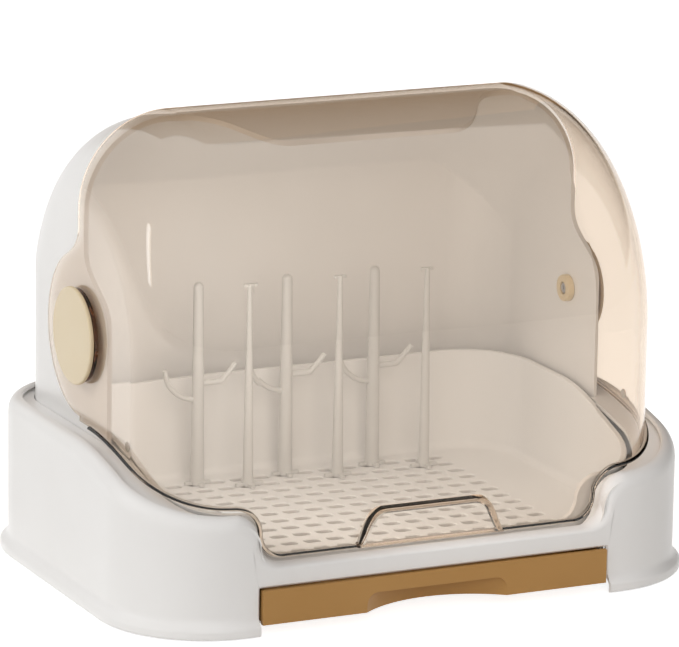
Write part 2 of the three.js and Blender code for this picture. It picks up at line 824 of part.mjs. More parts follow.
// One section of the basin's wall, from its foot up outside, over the lip and down inside.
function basinSection(distance) {
  const top = edgeHeight(basin_edge, distance);
  const lean = basinLean(top);
  const foot = basinLean(basin_floor_top);
  return [
    [foot - basin_foot_round, basin_bottom_height],
    [foot, basin_bottom_height + basin_foot_round * basin_foot_outer_share],
    [lean - basin_lip_width, top - basin_lip_height],
    [lean, top - basin_lip_height],
    [lean, top],
    [lean - basin_lip_width - basin_wall, top],
    [foot - basin_wall, basin_floor_top + basin_foot_round * basin_foot_inner_share],
    [foot - basin_wall - basin_foot_round, basin_floor_top],
    [foot - basin_wall - 2 * basin_foot_round, basin_floor_top],
    [foot - basin_wall - 2 * basin_foot_round, basin_bottom_height],
  ];
}

// Where a column or a row of slots lies.
function slotX(column) {
  return (column - (slot_columns - 1) / 2) * slot_pitch_x;
}

function slotY(row) {
  return slot_last_row - row * slot_pitch_y;
}

// The basin: swept walls round a floor with a grid of slots.
function makeBasin() {
  const stations = edgeStations(basin_plan, basin_edge, basin_step_sections, basin_rise_sections);
  const wall = sweptWall(basin_plan, stations, basinSection);
  const inset = basinLean(basin_floor_top) - basin_wall - basin_foot_round;
  const floorShape = roundedPlan(
    -basin_half_width - inset,
    basin_half_width + inset,
    basin_front - inset,
    basin_back + inset,
    basin_corner_radius + inset,
  );
  const floor = prismZ(floorShape, basin_bottom_height, basin_floor_top);
  const slots = [];
  for (let column = 0; column < slot_columns; column += 1) {
    for (let row = 0; row < slot_rows; row += 1) {
      const slot = new THREE.BoxGeometry(slot_length, slot_width, overrun);
      slots.push(slot.translate(slotX(column), slotY(row), basin_bottom_height));
    }
  }
  addPiece('drain_basin', wall.add(floor).subtract(solid(mergeGeometries(slots))), white_plastic);
}

const cover_dome = { radius: cover_roof_radius, halfWidth: cover_half_width, fillet: cover_roof_fillet };

// The rear cover's dome with its flat back, offset inward by a skin.
function coverBody(bottom, skin) {
  const plan = roundedPlan(
    -cover_half_width + skin,
    cover_half_width - skin,
    hinge_y - cover_roof_radius - overrun,
    cover_back - skin,
    cover_back_fillet - skin,
  );
  const high = hinge_z + cover_roof_radius + overrun;
  return dome(cover_dome, bottom, skin).intersect(prismZ(plan, bottom - overrun, high));
}

// Everything in front of the cover's ears and roof edge, seen from the side and from above.
function coverFrontCut() {
  const ears = new THREE.Shape();
  const far = hinge_y - cover_roof_radius - overrun;
  ears.moveTo(far, -overrun);
  ears.lineTo(ear_front, -overrun);
  ears.lineTo(ear_front, ear_step_bottom);
  ears.bezierCurveTo(
    ear_front,
    (ear_step_bottom + ear_step_top) / 2,
    ear_upper_front,
    (ear_step_bottom + ear_step_top) / 2,
    ear_upper_front,
    ear_step_top,
  );
  ears.lineTo(ear_upper_front, roof_edge_height);
  ears.lineTo(far, roof_edge_height);
  const wide = cover_half_width + overrun;
  const sideCut = prismX(ears, -wide, wide);
  const roof = new THREE.Shape();
  roof.moveTo(-wide, far);
  roof.lineTo(wide, far);
  roof.lineTo(wide, ear_upper_front);
  roof.lineTo(visor_half_width, ear_upper_front);
  const middle = (visor_half_width + visor_flat_half_width) / 2;
  roof.bezierCurveTo(middle, ear_upper_front, middle, visor_front, visor_flat_half_width, visor_front);
  roof.lineTo(-visor_flat_half_width, visor_front);
  roof.bezierCurveTo(-middle, visor_front, -middle, ear_upper_front, -visor_half_width, ear_upper_front);
  roof.lineTo(-wide, ear_upper_front);
  const high = hinge_z + cover_roof_radius + overrun;
  const roofCut = prismZ(roof, roof_edge_height - roof_edge_overlap, high);
  return sideCut.add(roofCut);
}

// The rear cover: the white back half of the dome, with ears that carry the hinge.
function makeCover() {
  const bottom = deck_top_height + seat_gap;
  const outer = coverBody(bottom, 0);
  const inner = coverBody(bottom - overrun, cover_wall);
  const bosses = cover_screw_places.map(([x, y]) => solid(turnedZ([
    [0, bottom],
    [cover_boss_radius, bottom],
    [cover_boss_radius, bottom + cover_boss_height],
    [0, bottom + cover_boss_height],
  ], x, y, small_sides)));
  let cover = joined([outer.subtract(inner), ...bosses]).subtract(coverFrontCut());
  cover_screw_places.forEach(([x, y]) => {
    cover = cover.subtract(solid(turnedZ([
      [0, bottom - overrun],
      [screw_hole_radius, bottom - overrun],
      [screw_hole_radius, bottom + cover_boss_height - cover_wall / 2],
      [0, bottom + cover_boss_height - cover_wall / 2],
    ], x, y, small_sides)));
  });
  [-1, 1].forEach((side) => {
    cover = cover.subtract(hingeBore(stem_radius, cover_half_width, side));
  });
  addPiece('rear_cover', cover, white_plastic);
}

// The lid's lower edge runs just above the rim of the base.
function lidEdge(gap) {
  return {
    front: rim_front_height + gap,
    corner: rim_corner_height + gap,
    side: rim_side_height + gap,
    middle: rim_step_middle - lid_step_shift,
    reach: rim_step_reach,
    riseStart: rim_rise_start,
    riseEnd: rim_rise_end,
  };
}

// All the space under the lid's lower edge, as a ring that stands on the rim of the base.
function underLid(gap) {
  const edge = lidEdge(gap);
  const outward = foot_flare + overrun;
  const inward = body_corner_radius * lid_edge_reach_share;
  const stations = edgeStations(body_plan, edge, rim_step_sections, rim_rise_sections);
  return sweptWall(body_plan, stations, (distance) => [
    [outward, -overrun],
    [outward, edgeHeight(edge, distance)],
    [-inward, edgeHeight(edge, distance)],
    [-inward, -overrun],
  ]);
}

const lid_dome = { radius: lid_radius, halfWidth: lid_half_width, fillet: lid_fillet };

// Everything behind the lid's rear edge, apart from the round lobes that turn on the hinge.
function lidRearCut() {
  const shape = new THREE.Shape();
  const far = hinge_y + lid_radius + overrun;
  const high = hinge_z + lid_radius + overrun;
  const start = THREE.MathUtils.degToRad(lid_lobe_start_degrees);
  shape.moveTo(far, high);
  shape.lineTo(lid_rear_edge, high);
  shape.lineTo(lid_rear_edge, lid_lobe_notch_height);
  shape.quadraticCurveTo(
    lid_rear_edge,
    lid_lobe_notch_corner,
    hinge_y + lid_lobe_radius * Math.cos(start),
    hinge_z + lid_lobe_radius * Math.sin(start),
  );
  shape.absarc(hinge_y, hinge_z, lid_lobe_radius, start, -Math.PI / 2, true);
  shape.lineTo(hinge_y, -overrun);
  shape.lineTo(far, -overrun);
  const wide = lid_half_width + overrun;
  return prismX(shape, -wide, wide, small_sides);
}

// A trapezoid with soft upper corners for the finger pull on the lid's front.
function pullOutline(inset) {
  const low = rim_front_height - overrun;
  const top = rim_front_height + pull_height - inset;
  const foot = pull_bottom_half_width - inset;
  const head = pull_top_half_width - inset;
  const shape = new THREE.Shape();
  shape.moveTo(-foot, low);
  shape.lineTo(foot, low);
  shape.lineTo(foot, rim_front_height);
  shape.bezierCurveTo(foot - pull_corner, rim_front_height, head + pull_upper_corner, top, head, top);
  shape.lineTo(-head, top);
  const left = -foot + pull_corner;
  shape.bezierCurveTo(-head - pull_upper_corner, top, left, rim_front_height, -foot, rim_front_height);
  return shape;
}

// The lid: the clear front half of the dome, with a bead along its lower edge and a finger pull.
function makeLid() {
  const front = hinge_y - lid_radius;
  const low = rim_front_height - overrun;
  const outer = dome(lid_dome, low, 0);
  const inner = dome(lid_dome, low - overrun, lid_wall);
  const beadOuter = dome(lid_dome, low, -lid_bead_width);
  const bead = beadOuter.intersect(underLid(lid_rim_gap + lid_bead_height));
  const pullOuter = prismY(pullOutline(0), front - pull_proud, front + lid_wall / 2);
  const pullInner = prismY(pullOutline(lid_wall), front - pull_proud + lid_wall, front + lid_wall + overrun);
  let lid = joined([outer, bead, pullOuter]);
  lid = lid.subtract(inner).subtract(pullInner).subtract(lidRearCut()).subtract(underLid(lid_rim_gap));
  [-1, 1].forEach((side) => {
    lid = lid.subtract(hingeBore(journal_radius, lid_half_width, side));
  });
  addPiece('lid', lid, amber_plastic);
}

// The hinge at one side: a cap with its stem outside, and a washer, bush and screw inside.
function makeHinge(place, side) {
  const capInner = lid_half_width + cap_gap;
  const capOuter = capInner + cap_thickness;
  const earInner = cover_half_width - cover_wall;
  const journalInner = cover_half_width + seat_gap;
  const stemInner = earInner + seat_gap;
  const bore = stemInner + stem_bore_depth;
  addPiece(`hinge_cap_${place}`, solid(turnedOnHinge([
    [0, bore],
    [stem_bore_radius, bore],
    [stem_bore_radius, stemInner],
    [stem_radius, stemInner],
    [stem_radius, journalInner],
    [journal_radius, journalInner],
    [journal_radius, capInner],
    [cap_radius, capInner],
    [cap_radius, capOuter - cap_edge_round],
    [cap_radius - cap_edge_round, capOuter],
    [0, capOuter],
  ], side)), tan_plastic);
  const washerMiddle = (cover_half_width + lid_half_width - lid_wall) / 2;
  addPiece(`hinge_washer_${place}`, solid(turnedOnHinge([
    [journal_radius + running_gap, washerMiddle - washer_thickness / 2],
    [washer_radius, washerMiddle - washer_thickness / 2],
    [washer_radius, washerMiddle + washer_thickness / 2],
    [journal_radius + running_gap, washerMiddle + washer_thickness / 2],
    [journal_radius + running_gap, washerMiddle - washer_thickness / 2],
  ], side)), milky_silicone);
  const bushOuter = earInner - seat_gap;
  const bushInner = bushOuter - bush_thickness;
  const bushFloor = bushOuter - bush_floor;
  const shankHole = hinge_screw_radius + seat_gap;
  addPiece(`hinge_bush_${place}`, solid(turnedOnHinge([
    [shankHole, bushOuter],
    [shankHole, bushFloor],
    [bush_bore_radius, bushFloor],
    [bush_bore_radius, bushInner],
    [bush_radius - cap_edge_round / 2, bushInner],
    [bush_radius, bushInner + cap_edge_round / 2],
    [bush_radius, bushOuter],
    [shankHole, bushOuter],
  ], side)), tan_plastic);
  const headOuter = bushFloor - seat_gap;
  const headInner = headOuter - hinge_screw_head_height;
  const tip = headOuter + hinge_screw_length;
  addPiece(`hinge_screw_${place}`, solid(turnedOnHinge([
    [0, headInner],
    [hinge_screw_head_radius, headInner],
    [hinge_screw_head_radius, headOuter],
    [hinge_screw_radius, headOuter],
    [hinge_screw_radius, tip],
    [0, tip],
  ], side, hinge_y, hinge_z, small_sides)), screw_steel);
}

// A small silicone dot on the inside of the lid keeps its side off the basin.
function makeBumper(place, side) {
  const face = lid_half_width - lid_wall - seat_gap;
  const dot = barOnHinge(bumper_radius, face - bumper_thickness, face, side, bumper_y, bumper_z, small_sides);
  addPiece(`lid_bumper_${place}`, solid(dot), milky_silicone);
}

// The parts that every peg shares: a cross foot on the floor and a pin that goes down a slot.
function pegFoot() {
  const low = basin_floor_top + seat_gap;
  const high = low + peg_foot_thickness;
  const half = peg_foot_width / 2;
  return joined([
    block([-peg_foot_half_span, -half, low], [peg_foot_half_span, half, high]),
    block([-half, -peg_foot_half_span, low], [half, peg_foot_half_span, high]),
    solid(turnedZ([
      [0, low - peg_pin_length],
      [peg_pin_radius * peg_pin_tip_share, low - peg_pin_length],
      [peg_pin_radius, low - peg_pin_length / 2],
      [peg_pin_radius, high],
      [0, high],
    ], 0, 0, small_sides)),
  ]);
}

// A plain peg: a thin rod that narrows upward to a short crossbar.
function straightPeg() {
  const low = basin_floor_top + seat_gap;
  const high = low + peg_height;
  const rod = solid(turnedZ([
    [0, low],
    [straight_peg_foot_radius, low],
    [straight_peg_top_radius, high],
    [0, high],
  ], 0, 0, small_sides));
  const bar = block(
    [-straight_peg_bar_half_length, -straight_peg_bar_thickness / 2, high - straight_peg_bar_thickness],
    [straight_peg_bar_half_length, straight_peg_bar_thickness / 2, high],
  );
  return joined([pegFoot(), rod, bar]);
}

// A round arm that follows a curve, given as shares of its reach and rise from its root.
function pegArm(shares, reach, root, tip) {
  const path = new THREE.CatmullRomCurve3(shares.map(([out, up]) => (
    new THREE.Vector3(reach * out, 0, root + (tip - root) * up)
  )));
  const section = new THREE.Shape();
  section.absarc(0, 0, branch_arm_radius, 0, Math.PI * 2);
  const options = { steps: arm_steps, extrudePath: path, curveSegments: arm_side_steps, bevelEnabled: false };
  return solid(new THREE.ExtrudeGeometry(section, options));
}

// A branched peg: a thicker rod with a round top, one low arm that curls up and one higher bent arm.
function branchPeg() {
  const low = basin_floor_top + seat_gap;
  const high = low + peg_height;
  const rod = solid(turnedZ([
    [0, low],
    [branch_peg_foot_radius, low],
    [branch_peg_top_radius, high - branch_peg_top_radius],
    [
      branch_peg_top_radius * branch_peg_shoulder_radius_share,
      high - branch_peg_top_radius * branch_peg_shoulder_drop_share,
    ],
    [0, high],
  ], 0, 0, small_sides));
  const lowRoot = low + peg_height * low_arm_height_share;
  const lowTip = low + peg_height * low_arm_tip_share;
  const highRoot = low + peg_height * high_arm_height_share;
  const highTip = low + peg_height * high_arm_tip_share;
  const lowArm = pegArm(low_arm_shares, -low_arm_reach, lowRoot, lowTip);
  const highArm = pegArm(high_arm_shares, high_arm_reach, highRoot, highTip);
  return joined([pegFoot(), rod, lowArm, highArm]);
}

// Pegs of both kinds stand in the two rows of slots nearest the back, each kind in the other's gaps.
function makePegs() {
  const reach = (peg_pair_count - 1) * peg_step_count;
  const aside = Math.min(peg_step_count / 2, slot_columns - 1 - reach);
  const first = Math.ceil((slot_columns - 1 - reach - aside) / 2);
  for (let number = 0; number < peg_pair_count; number += 1) {
    const column = first + number * peg_step_count;
    const branch = branchPeg().translate([slotX(column), slotY(0), 0]);
    addPiece(`branch_peg_${number + 1}`, branch, peg_plastic);
    const straight = straightPeg().translate([slotX(column + aside), slotY(1), 0]);
    addPiece(`straight_peg_${number + 1}`, straight, peg_plastic);
  }
}

makeBase();
makeRunner('drawer_runner_left', -1);
makeRunner('drawer_runner_right', 1);
makeScrews('runner_screw', runner_screw_places, deck_bottom_height - runner_top_thickness - 2 * seat_gap,
  runner_screw_length);
makePads();
makeDrawer();
makeBasin();
makeCover();
makeScrews('rear_cover_screw', cover_screw_places, deck_bottom_height - seat_gap, cover_screw_length);
makeLid();
makeHinge('left', -1);
makeHinge('right', 1);
makeBumper('left', -1);
makeBumper('right', 1);
makePegs();

export default box;
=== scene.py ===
# %% [markdown]
# This lesson dresses a countertop drying box for baby bottles. The box has a white base with a drip drawer,
# a lift-out basin with slots, a white rear cover, a clear amber lid on two hinges and six plug-in pegs.
# The frame that the lesson starts from holds every piece at its real size and place, as a plain solid.
# Blender adds what those solids lack: fine curves, soft edges, clear and moulded plastic, and light.

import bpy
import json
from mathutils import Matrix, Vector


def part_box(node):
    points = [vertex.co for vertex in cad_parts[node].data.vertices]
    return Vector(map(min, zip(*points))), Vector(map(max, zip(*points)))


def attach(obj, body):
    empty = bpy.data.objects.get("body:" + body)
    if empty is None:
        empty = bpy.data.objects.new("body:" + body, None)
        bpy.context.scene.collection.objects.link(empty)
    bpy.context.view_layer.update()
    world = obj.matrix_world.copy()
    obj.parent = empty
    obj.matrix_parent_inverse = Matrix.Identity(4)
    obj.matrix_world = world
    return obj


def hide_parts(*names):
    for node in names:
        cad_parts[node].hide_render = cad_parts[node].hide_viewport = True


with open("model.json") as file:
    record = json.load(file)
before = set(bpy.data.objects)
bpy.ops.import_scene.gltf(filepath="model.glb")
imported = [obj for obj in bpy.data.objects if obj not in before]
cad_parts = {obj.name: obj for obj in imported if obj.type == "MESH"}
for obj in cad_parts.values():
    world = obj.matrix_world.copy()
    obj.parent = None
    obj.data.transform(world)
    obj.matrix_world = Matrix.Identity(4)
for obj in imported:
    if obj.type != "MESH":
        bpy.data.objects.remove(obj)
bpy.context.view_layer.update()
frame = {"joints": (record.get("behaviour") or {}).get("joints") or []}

# %% [markdown]
# A box like this is drawn in millimetres, and Blender counts in metres. Every size here is therefore
# written in millimetres, and one helper turns finished points into metres. Sizes that the frame already
# holds are read from it, so a piece always fits the place that it dresses.

# %% Units and what the frame measures
import json
import math

import bmesh
import bpy
from mathutils import Matrix, Vector

MM = 0.001


def span_of(node):
    """The lowest and highest corner of a frame piece, in millimetres."""
    low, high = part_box(node)
    return low / MM, high / MM


def middle_of(node):
    """The middle of a frame piece, in millimetres."""
    low, high = span_of(node)
    return (low + high) / 2


base_low, base_high = span_of("base_housing")
lid_high = span_of("lid")[1]
cover_low, cover_high = span_of("rear_cover")
basin_low, basin_high = span_of("drain_basin")
drawer_low, drawer_high = span_of("drip_drawer")
hinge_y, hinge_z = [
    value / MM for joint in frame["joints"] if joint["name"] == "lid_swing" for value in joint["pos_m"][1:]
]
print("the box is", [round(high - low) for low, high in zip(base_low, base_high)], "mm at its base")

# %% [markdown]
# The camera stands where the photographer stood: to the front left and a little above, far enough away
# that upright edges stay nearly parallel. A long lens at three metres does that. The camera's own axes are
# built from its two angles, and a small roll tips the horizon as it is tipped in the picture.

# %% The camera
picture_width_pixels = 679
focal_pixels = 4940.5
sensor_width = 36.0
camera_azimuth = -25.6
camera_elevation = 13.8
camera_roll = math.radians(0.9)
camera_distance = 3.0
camera_aim = Vector((-1.8, 0, 146.8)) * MM
view_depth = 20


def placed(name, data):
    """A new object in the scene."""
    item = bpy.data.objects.new(name, data)
    bpy.context.scene.collection.objects.link(item)
    return item


def direction(azimuth, elevation):
    """The way from the box to a place, from two angles in degrees."""
    turn, rise = math.radians(azimuth), math.radians(elevation)
    level = math.cos(rise)
    return Vector((math.sin(turn) * level, -math.cos(turn) * level, math.sin(rise)))


def make_camera():
    """A long lens aimed at the middle of the box."""
    back = direction(camera_azimuth, camera_elevation)
    right = Vector((0, 0, 1)).cross(back).normalized()
    up = back.cross(right)
    turned_right = right * math.cos(camera_roll) + up * math.sin(camera_roll)
    turned_up = up * math.cos(camera_roll) - right * math.sin(camera_roll)
    lens = bpy.data.cameras.new("long_lens")
    lens.sensor_width = sensor_width
    lens.lens = focal_pixels * sensor_width / picture_width_pixels
    lens.clip_end = view_depth
    camera = placed("camera", lens)
    axes = Matrix((turned_right, turned_up, back)).transposed().to_4x4()
    camera.matrix_world = Matrix.Translation(camera_aim + back * camera_distance) @ axes
    bpy.context.scene.camera = camera
    print("lens", round(lens.lens, 1), "mm")


make_camera()
bpy.context.scene.view_settings.view_transform = "Standard"

# %% [markdown]
# Light and finishes are both made of nodes. Two helpers make a node and fill its sockets, with a plain
# value or a link, and a third tells what kind of ray meets a surface. With them a recipe reads as a list.

# %% Helpers for nodes
def set_inputs(node, inputs):
    """Gives a node's sockets a number, a colour or a link from another node."""
    for name, value in inputs.items():
        if isinstance(value, bpy.types.NodeSocket):
            node.id_data.links.new(value, node.inputs[name])
        else:
            node.inputs[name].default_value = value


def add_node(tree, kind, inputs, **settings):
    """A new node with its settings and its inputs."""
    node = tree.nodes.new(kind)
    for name, setting in settings.items():
        setattr(node, name, setting)
    set_inputs(node, inputs)
    return node


def any_ray(tree, first, *others):
    """1 for rays of the named kinds, and 0 for all others."""
    path = tree.nodes.new("ShaderNodeLightPath")
    value = path.outputs[first]
    for kind in others:
        either = {0: value, 1: path.outputs[kind]}
        value = add_node(tree, "ShaderNodeMath", either, operation="MAXIMUM").outputs[0]
    return value


# %% [markdown]
# The studio is a white table in a white room. The camera sees both at full white, and so does what
# reflects or shows through clear plastic. The light that falls on the box is set apart from that, because
# white surroundings at full strength would wash out every soft shade on white plastic.
# Soft lamps stand at the left, in front and above. Gloss shows only the narrow one, as it would a window.
# A weak panel that no ray sees lights the chamber from inside the lid. Two dim screens stand far behind,
# higher than any picture reaches. Only light that the lid's crest bends meets them, and it draws the crest.

# %% The studio
floor_size = 30.0
floor_colour = (0.86, 0.855, 0.845, 1)
floor_roughness = 0.9
floor_glow = 0.85
room_light = (0.34, 0.334, 0.328, 1)
white = (1, 1, 1, 1)
white_rays = ("Is Camera Ray", "Is Glossy Ray", "Is Transmission Ray")
lamps = {  # azimuth, elevation, distance, size, power, colour, seen in gloss
    "window_lamp": (-104, 18, 2.4, (0.13, 0.95), 2.0, (0.98, 1, 1), True),
    "side_lamp": (-97, 32, 2.4, (1.2, 1.2), 17.0, (0.97, 0.99, 1), False),
    "front_lamp": (-15, 22, 2.6, (1.4, 1.4), 14.0, (1, 0.99, 0.98), False),
    "top_lamp": (-40, 65, 3.2, (2.4, 2.4), 15.0, (1, 1, 1), False),
}
panel_place = Vector((-50, -88, 165)) * MM
panel_facing = Vector((0.8, 0.7, -0.4))
panel_size = (0.24, 0.12)
panel_power = 0.18
panel_colour = (0.97, 0.99, 1)
screen_distance = 5.0
screen_bottom = 0.75
screen_top = 7.0
screen_steps = 12
screens = {  # first and last direction, colour
    "side_screen": (80, 139, (0.07, 0.045, 0.028, 1)),
    "back_screen": (139, 185, (0.62, 0.4, 0.2, 1)),
}


def make_room():
    """The white room: full white where it is seen, and softer where it lights."""
    world = bpy.data.worlds.new("white_room")
    world.use_nodes = True
    bpy.context.scene.world = world
    tree = world.node_tree
    level = {"Factor": any_ray(tree, *white_rays), "A": room_light, "B": white}
    colour = add_node(tree, "ShaderNodeMix", level, data_type="RGBA").outputs["Result"]
    set_inputs(tree.nodes["Background"], {"Color": colour})


def studio_piece(name, points, faces, colour, roughness):
    """A sheet of the studio. Returns the shader of its matt finish."""
    mesh = bpy.data.meshes.new(name)
    mesh.from_pydata(points, [], faces)
    material = bpy.data.materials.new(name)
    material.use_nodes = True
    mesh.materials.append(material)
    piece = placed(name, mesh)
    shader = material.node_tree.nodes["Principled BSDF"]
    set_inputs(shader, {"Base Color": colour, "Roughness": roughness})
    return shader


def make_table():
    """The white table. It glows a little where it is seen, and its own shading keeps the shadow."""
    half = floor_size / 2
    corners = [(-half, -half, 0), (half, -half, 0), (half, half, 0), (-half, half, 0)]
    shader = studio_piece("table_top", corners, [(0, 1, 2, 3)], floor_colour, floor_roughness)
    tree = shader.id_data
    glow = {0: any_ray(tree, *white_rays), 1: floor_glow}
    strength = add_node(tree, "ShaderNodeMath", glow, operation="MULTIPLY").outputs[0]
    set_inputs(shader, {"Specular IOR Level": 0.0, "Emission Color": white, "Emission Strength": strength})


def make_screen(name, first, last, colour):
    """A dim upright screen between two directions in degrees."""
    points, faces = [], []
    for step in range(screen_steps + 1):
        across, along, _ = direction(first + (last - first) * step / screen_steps, 0) * screen_distance
        points += [(across, along, screen_bottom), (across, along, screen_top)]
        if step:
            faces.append((2 * step - 2, 2 * step, 2 * step + 1, 2 * step - 1))
    studio_piece(name, points, faces, colour, 1.0)


def make_lamp(name, place, backward, size, power, colour, seen_in_gloss):
    """A soft lamp box, from its place and the direction that its back has."""
    light = bpy.data.lights.new(name, "AREA")
    light.shape = "RECTANGLE"
    light.size, light.size_y = size
    light.energy = power
    light.color = colour
    lamp = placed(name, light)
    lamp.location = place
    lamp.rotation_mode = "QUATERNION"
    lamp.rotation_quaternion = backward.to_track_quat("Z", "Y")
    lamp.visible_glossy = lamp.visible_transmission = seen_in_gloss
    return lamp


make_room()
make_table()
for name, (azimuth, elevation, distance, *rest) in lamps.items():
    toward = direction(azimuth, elevation)
    make_lamp(name, camera_aim + toward * distance, toward, *rest)
panel = make_lamp("inner_panel", panel_place, -panel_facing, panel_size, panel_power, panel_colour, False)
panel.visible_camera = False
for name, screen in screens.items():
    make_screen(name, *screen)

# %% [markdown]
# Injection moulding leaves shells of even thickness with round corners. They could be modelled by hand with
# a subdivision cage, but their edges follow exact curves, and a cage only comes near them. So each shell is
# made of rows of points from a formula, and boolean cuts give it its openings.

# %% Helpers for meshes
def put(name, points, faces):
    """A closed mesh from points in millimetres, with its faces turned outward."""
    mesh = bpy.data.meshes.new(name)
    mesh.from_pydata([[value * MM for value in point] for point in points], [], faces)
    work = bmesh.new()
    work.from_mesh(mesh)
    bmesh.ops.remove_doubles(work, verts=work.verts, dist=1e-7)
    bmesh.ops.recalc_face_normals(work, faces=work.faces)
    work.to_mesh(mesh)
    work.free()
    return placed(name, mesh)


def ring_faces(start, after, count):
    """The faces between two rings of points, from the numbers of their first points."""
    pairs = [(place, (place + 1) % count) for place in range(count)]
    return [(start + a, start + b, after + b, after + a) for a, b in pairs]


def stack_faces(start, count, levels):
    """The faces of a stack of rings, with a flat face at each end."""
    last = start + (levels - 1) * count
    faces = [list(range(start, start + count)), list(range(last, last + count))]
    for low in range(start, last, count):
        faces += ring_faces(low, low + count, count)
    return faces


def stacked(name, rings):
    """A solid from rings of points, one on the next."""
    points = [point for ring in rings for point in ring]
    return put(name, points, stack_faces(0, len(rings[0]), len(rings)))


def looped(name, rows):
    """A solid from rows of points that run round in both directions, as in a tyre."""
    points = [point for row in rows for point in row]
    count, total = len(rows[0]), len(points)
    faces = []
    for start in range(0, total, count):
        faces += ring_faces(start, (start + count) % total, count)
    return put(name, points, faces)


def settle(piece):
    """Turns a piece's modifiers into its mesh."""
    graph = bpy.context.evaluated_depsgraph_get()
    mesh = bpy.data.meshes.new_from_object(piece.evaluated_get(graph))
    piece.modifiers.clear()
    old = piece.data
    piece.data = mesh
    bpy.data.meshes.remove(old)


def combine(piece, tool, operation):
    """Joins, cuts or keeps what two solids share, and uses the second one up."""
    change = piece.modifiers.new("combine", "BOOLEAN")
    change.operation = operation
    change.solver = "MANIFOLD"
    change.object = tool
    settle(piece)
    spent = tool.data
    bpy.data.objects.remove(tool)
    bpy.data.meshes.remove(spent)
    return piece


def cut(piece, tool):
    return combine(piece, tool, "DIFFERENCE")


def join(piece, tool):
    return combine(piece, tool, "UNION")


def keep(piece, tool):
    return combine(piece, tool, "INTERSECT")


# %% [markdown]
# Outlines repeat all over the box: arcs, rounded rectangles and soft S-curves. They are plain lists of
# points, so that the same outline can become a wall, a hole or a section.

# %% Helpers for outlines
def arc(x, y, radius, start, end, steps, tall=None):
    """Points on an arc from one angle to another, in degrees. A second radius makes it an ellipse."""
    tall = radius if tall is None else tall
    angles = [math.radians(start + (end - start) * step / steps) for step in range(steps + 1)]
    return [(x + radius * math.cos(angle), y + tall * math.sin(angle)) for angle in angles]


def circle(x, y, radius, sides):
    """Points all round a circle."""
    angles = [2 * math.pi * step / sides for step in range(sides)]
    return [(x + radius * math.cos(angle), y + radius * math.sin(angle)) for angle in angles]


def bezier(first, pull, push, last, steps):
    """Points on a cubic curve, both ends included."""
    points = []
    for step in range(steps + 1):
        t = step / steps
        shares = ((1 - t) ** 3, 3 * t * (1 - t) ** 2, 3 * t * t * (1 - t), t ** 3)
        points.append(tuple(
            sum(share * corner[axis] for share, corner in zip(shares, (first, pull, push, last)))
            for axis in range(2)
        ))
    return points


def rounded(left, right, front, back, radius, steps=12):
    """A rounded rectangle."""
    return [
        *arc(right - radius, front + radius, radius, -90, 0, steps),
        *arc(right - radius, back - radius, radius, 0, 90, steps),
        *arc(left + radius, back - radius, radius, 90, 180, steps),
        *arc(left + radius, front + radius, radius, 180, 270, steps),
    ]


def mirrored(right):
    """A whole outline from its right half."""
    return right + [(-x, along) for x, along in reversed(right)]


def rectangle(half, low, high):
    return [(-half, low), (half, low), (half, high), (-half, high)]


def at_x(outline, x):
    return [(x, y, z) for y, z in outline]


def at_y(outline, y):
    return [(x, y, z) for x, z in outline]


def at_z(outline, z):
    return [(x, y, z) for x, y in outline]


def block(name, outline, at, low, high):
    """A straight solid: one outline carried from one place on an axis to another."""
    return stacked(name, [at(outline, low), at(outline, high)])


def turned(name, profile, x, y, sides=64):
    """A turned solid on an upright axis, from pairs of radius and height."""
    return stacked(name, [at_z(circle(x, y, radius, sides), height) for radius, height in profile])


def turned_across(name, profile, side, middle=(hinge_y, hinge_z), closed=False, sides=96):
    """A turned solid on a level axis, the hinge's at first, from pairs of radius and distance sideways."""
    rings = [at_x(circle(*middle, radius, sides), side * place) for radius, place in profile]
    return looped(name, rings) if closed else stacked(name, rings)


# %% [markdown]
# White moulded plastic is never one flat value. The resin flows unevenly, so its colour drifts a little over
# a hand's width, its gloss changes from place to place, and the mould's fine sparked grain roughens it.
# Each finish here is that recipe with its own colours: slow noise for colour, mid-size noise for gloss, fine
# noise for grain, and a very slow wave for the flatness that no large shell has.

# %% Finishes of solid plastic
cloud_low, cloud_high = 0.3, 0.7
drift_scale = 14
gloss_scale = 38
gloss_drift = 0.12
grain_scale = 2600
wave_scale = 7
grain_depth = 0.000008
wave_depth = 0.0005
plastic_ior = 1.5


def new_finish(slot):
    """A bare finish for a slot of the record: its material, node tree and main shader."""
    material = bpy.data.materials.new(f"{slot}_finish")
    material["slot"] = slot
    material.use_nodes = True
    return material, material.node_tree, material.node_tree.nodes["Principled BSDF"]


def noise(tree, scale, detail=2.0):
    """Cloudy values from 0 to 1 that keep their place on the piece."""
    place = tree.nodes.new("ShaderNodeTexCoord").outputs["Object"]
    cloud = {"Vector": place, "Scale": scale, "Detail": detail}
    return add_node(tree, "ShaderNodeTexNoise", cloud).outputs["Fac"]


def spread(tree, value, low, high):
    """The same values over another range."""
    change = {"Value": value, "From Min": cloud_low, "From Max": cloud_high, "To Min": low, "To Max": high}
    return add_node(tree, "ShaderNodeMapRange", change).outputs["Result"]


def drifting(tree, first, second, scale=drift_scale):
    """A colour that drifts between two near ones."""
    share = spread(tree, noise(tree, scale, 3.0), 0, 1)
    blend = {"Factor": share, "A": (*first, 1), "B": (*second, 1)}
    return add_node(tree, "ShaderNodeMix", blend, data_type="RGBA").outputs["Result"]


def relief(tree, height, depth, under=None):
    """A bump of the given depth in metres, laid over another one if there is one."""
    bump = {"Height": height, "Distance": depth, "Strength": 1.0}
    if under is not None:
        bump["Normal"] = under
    return add_node(tree, "ShaderNodeBump", bump).outputs["Normal"]


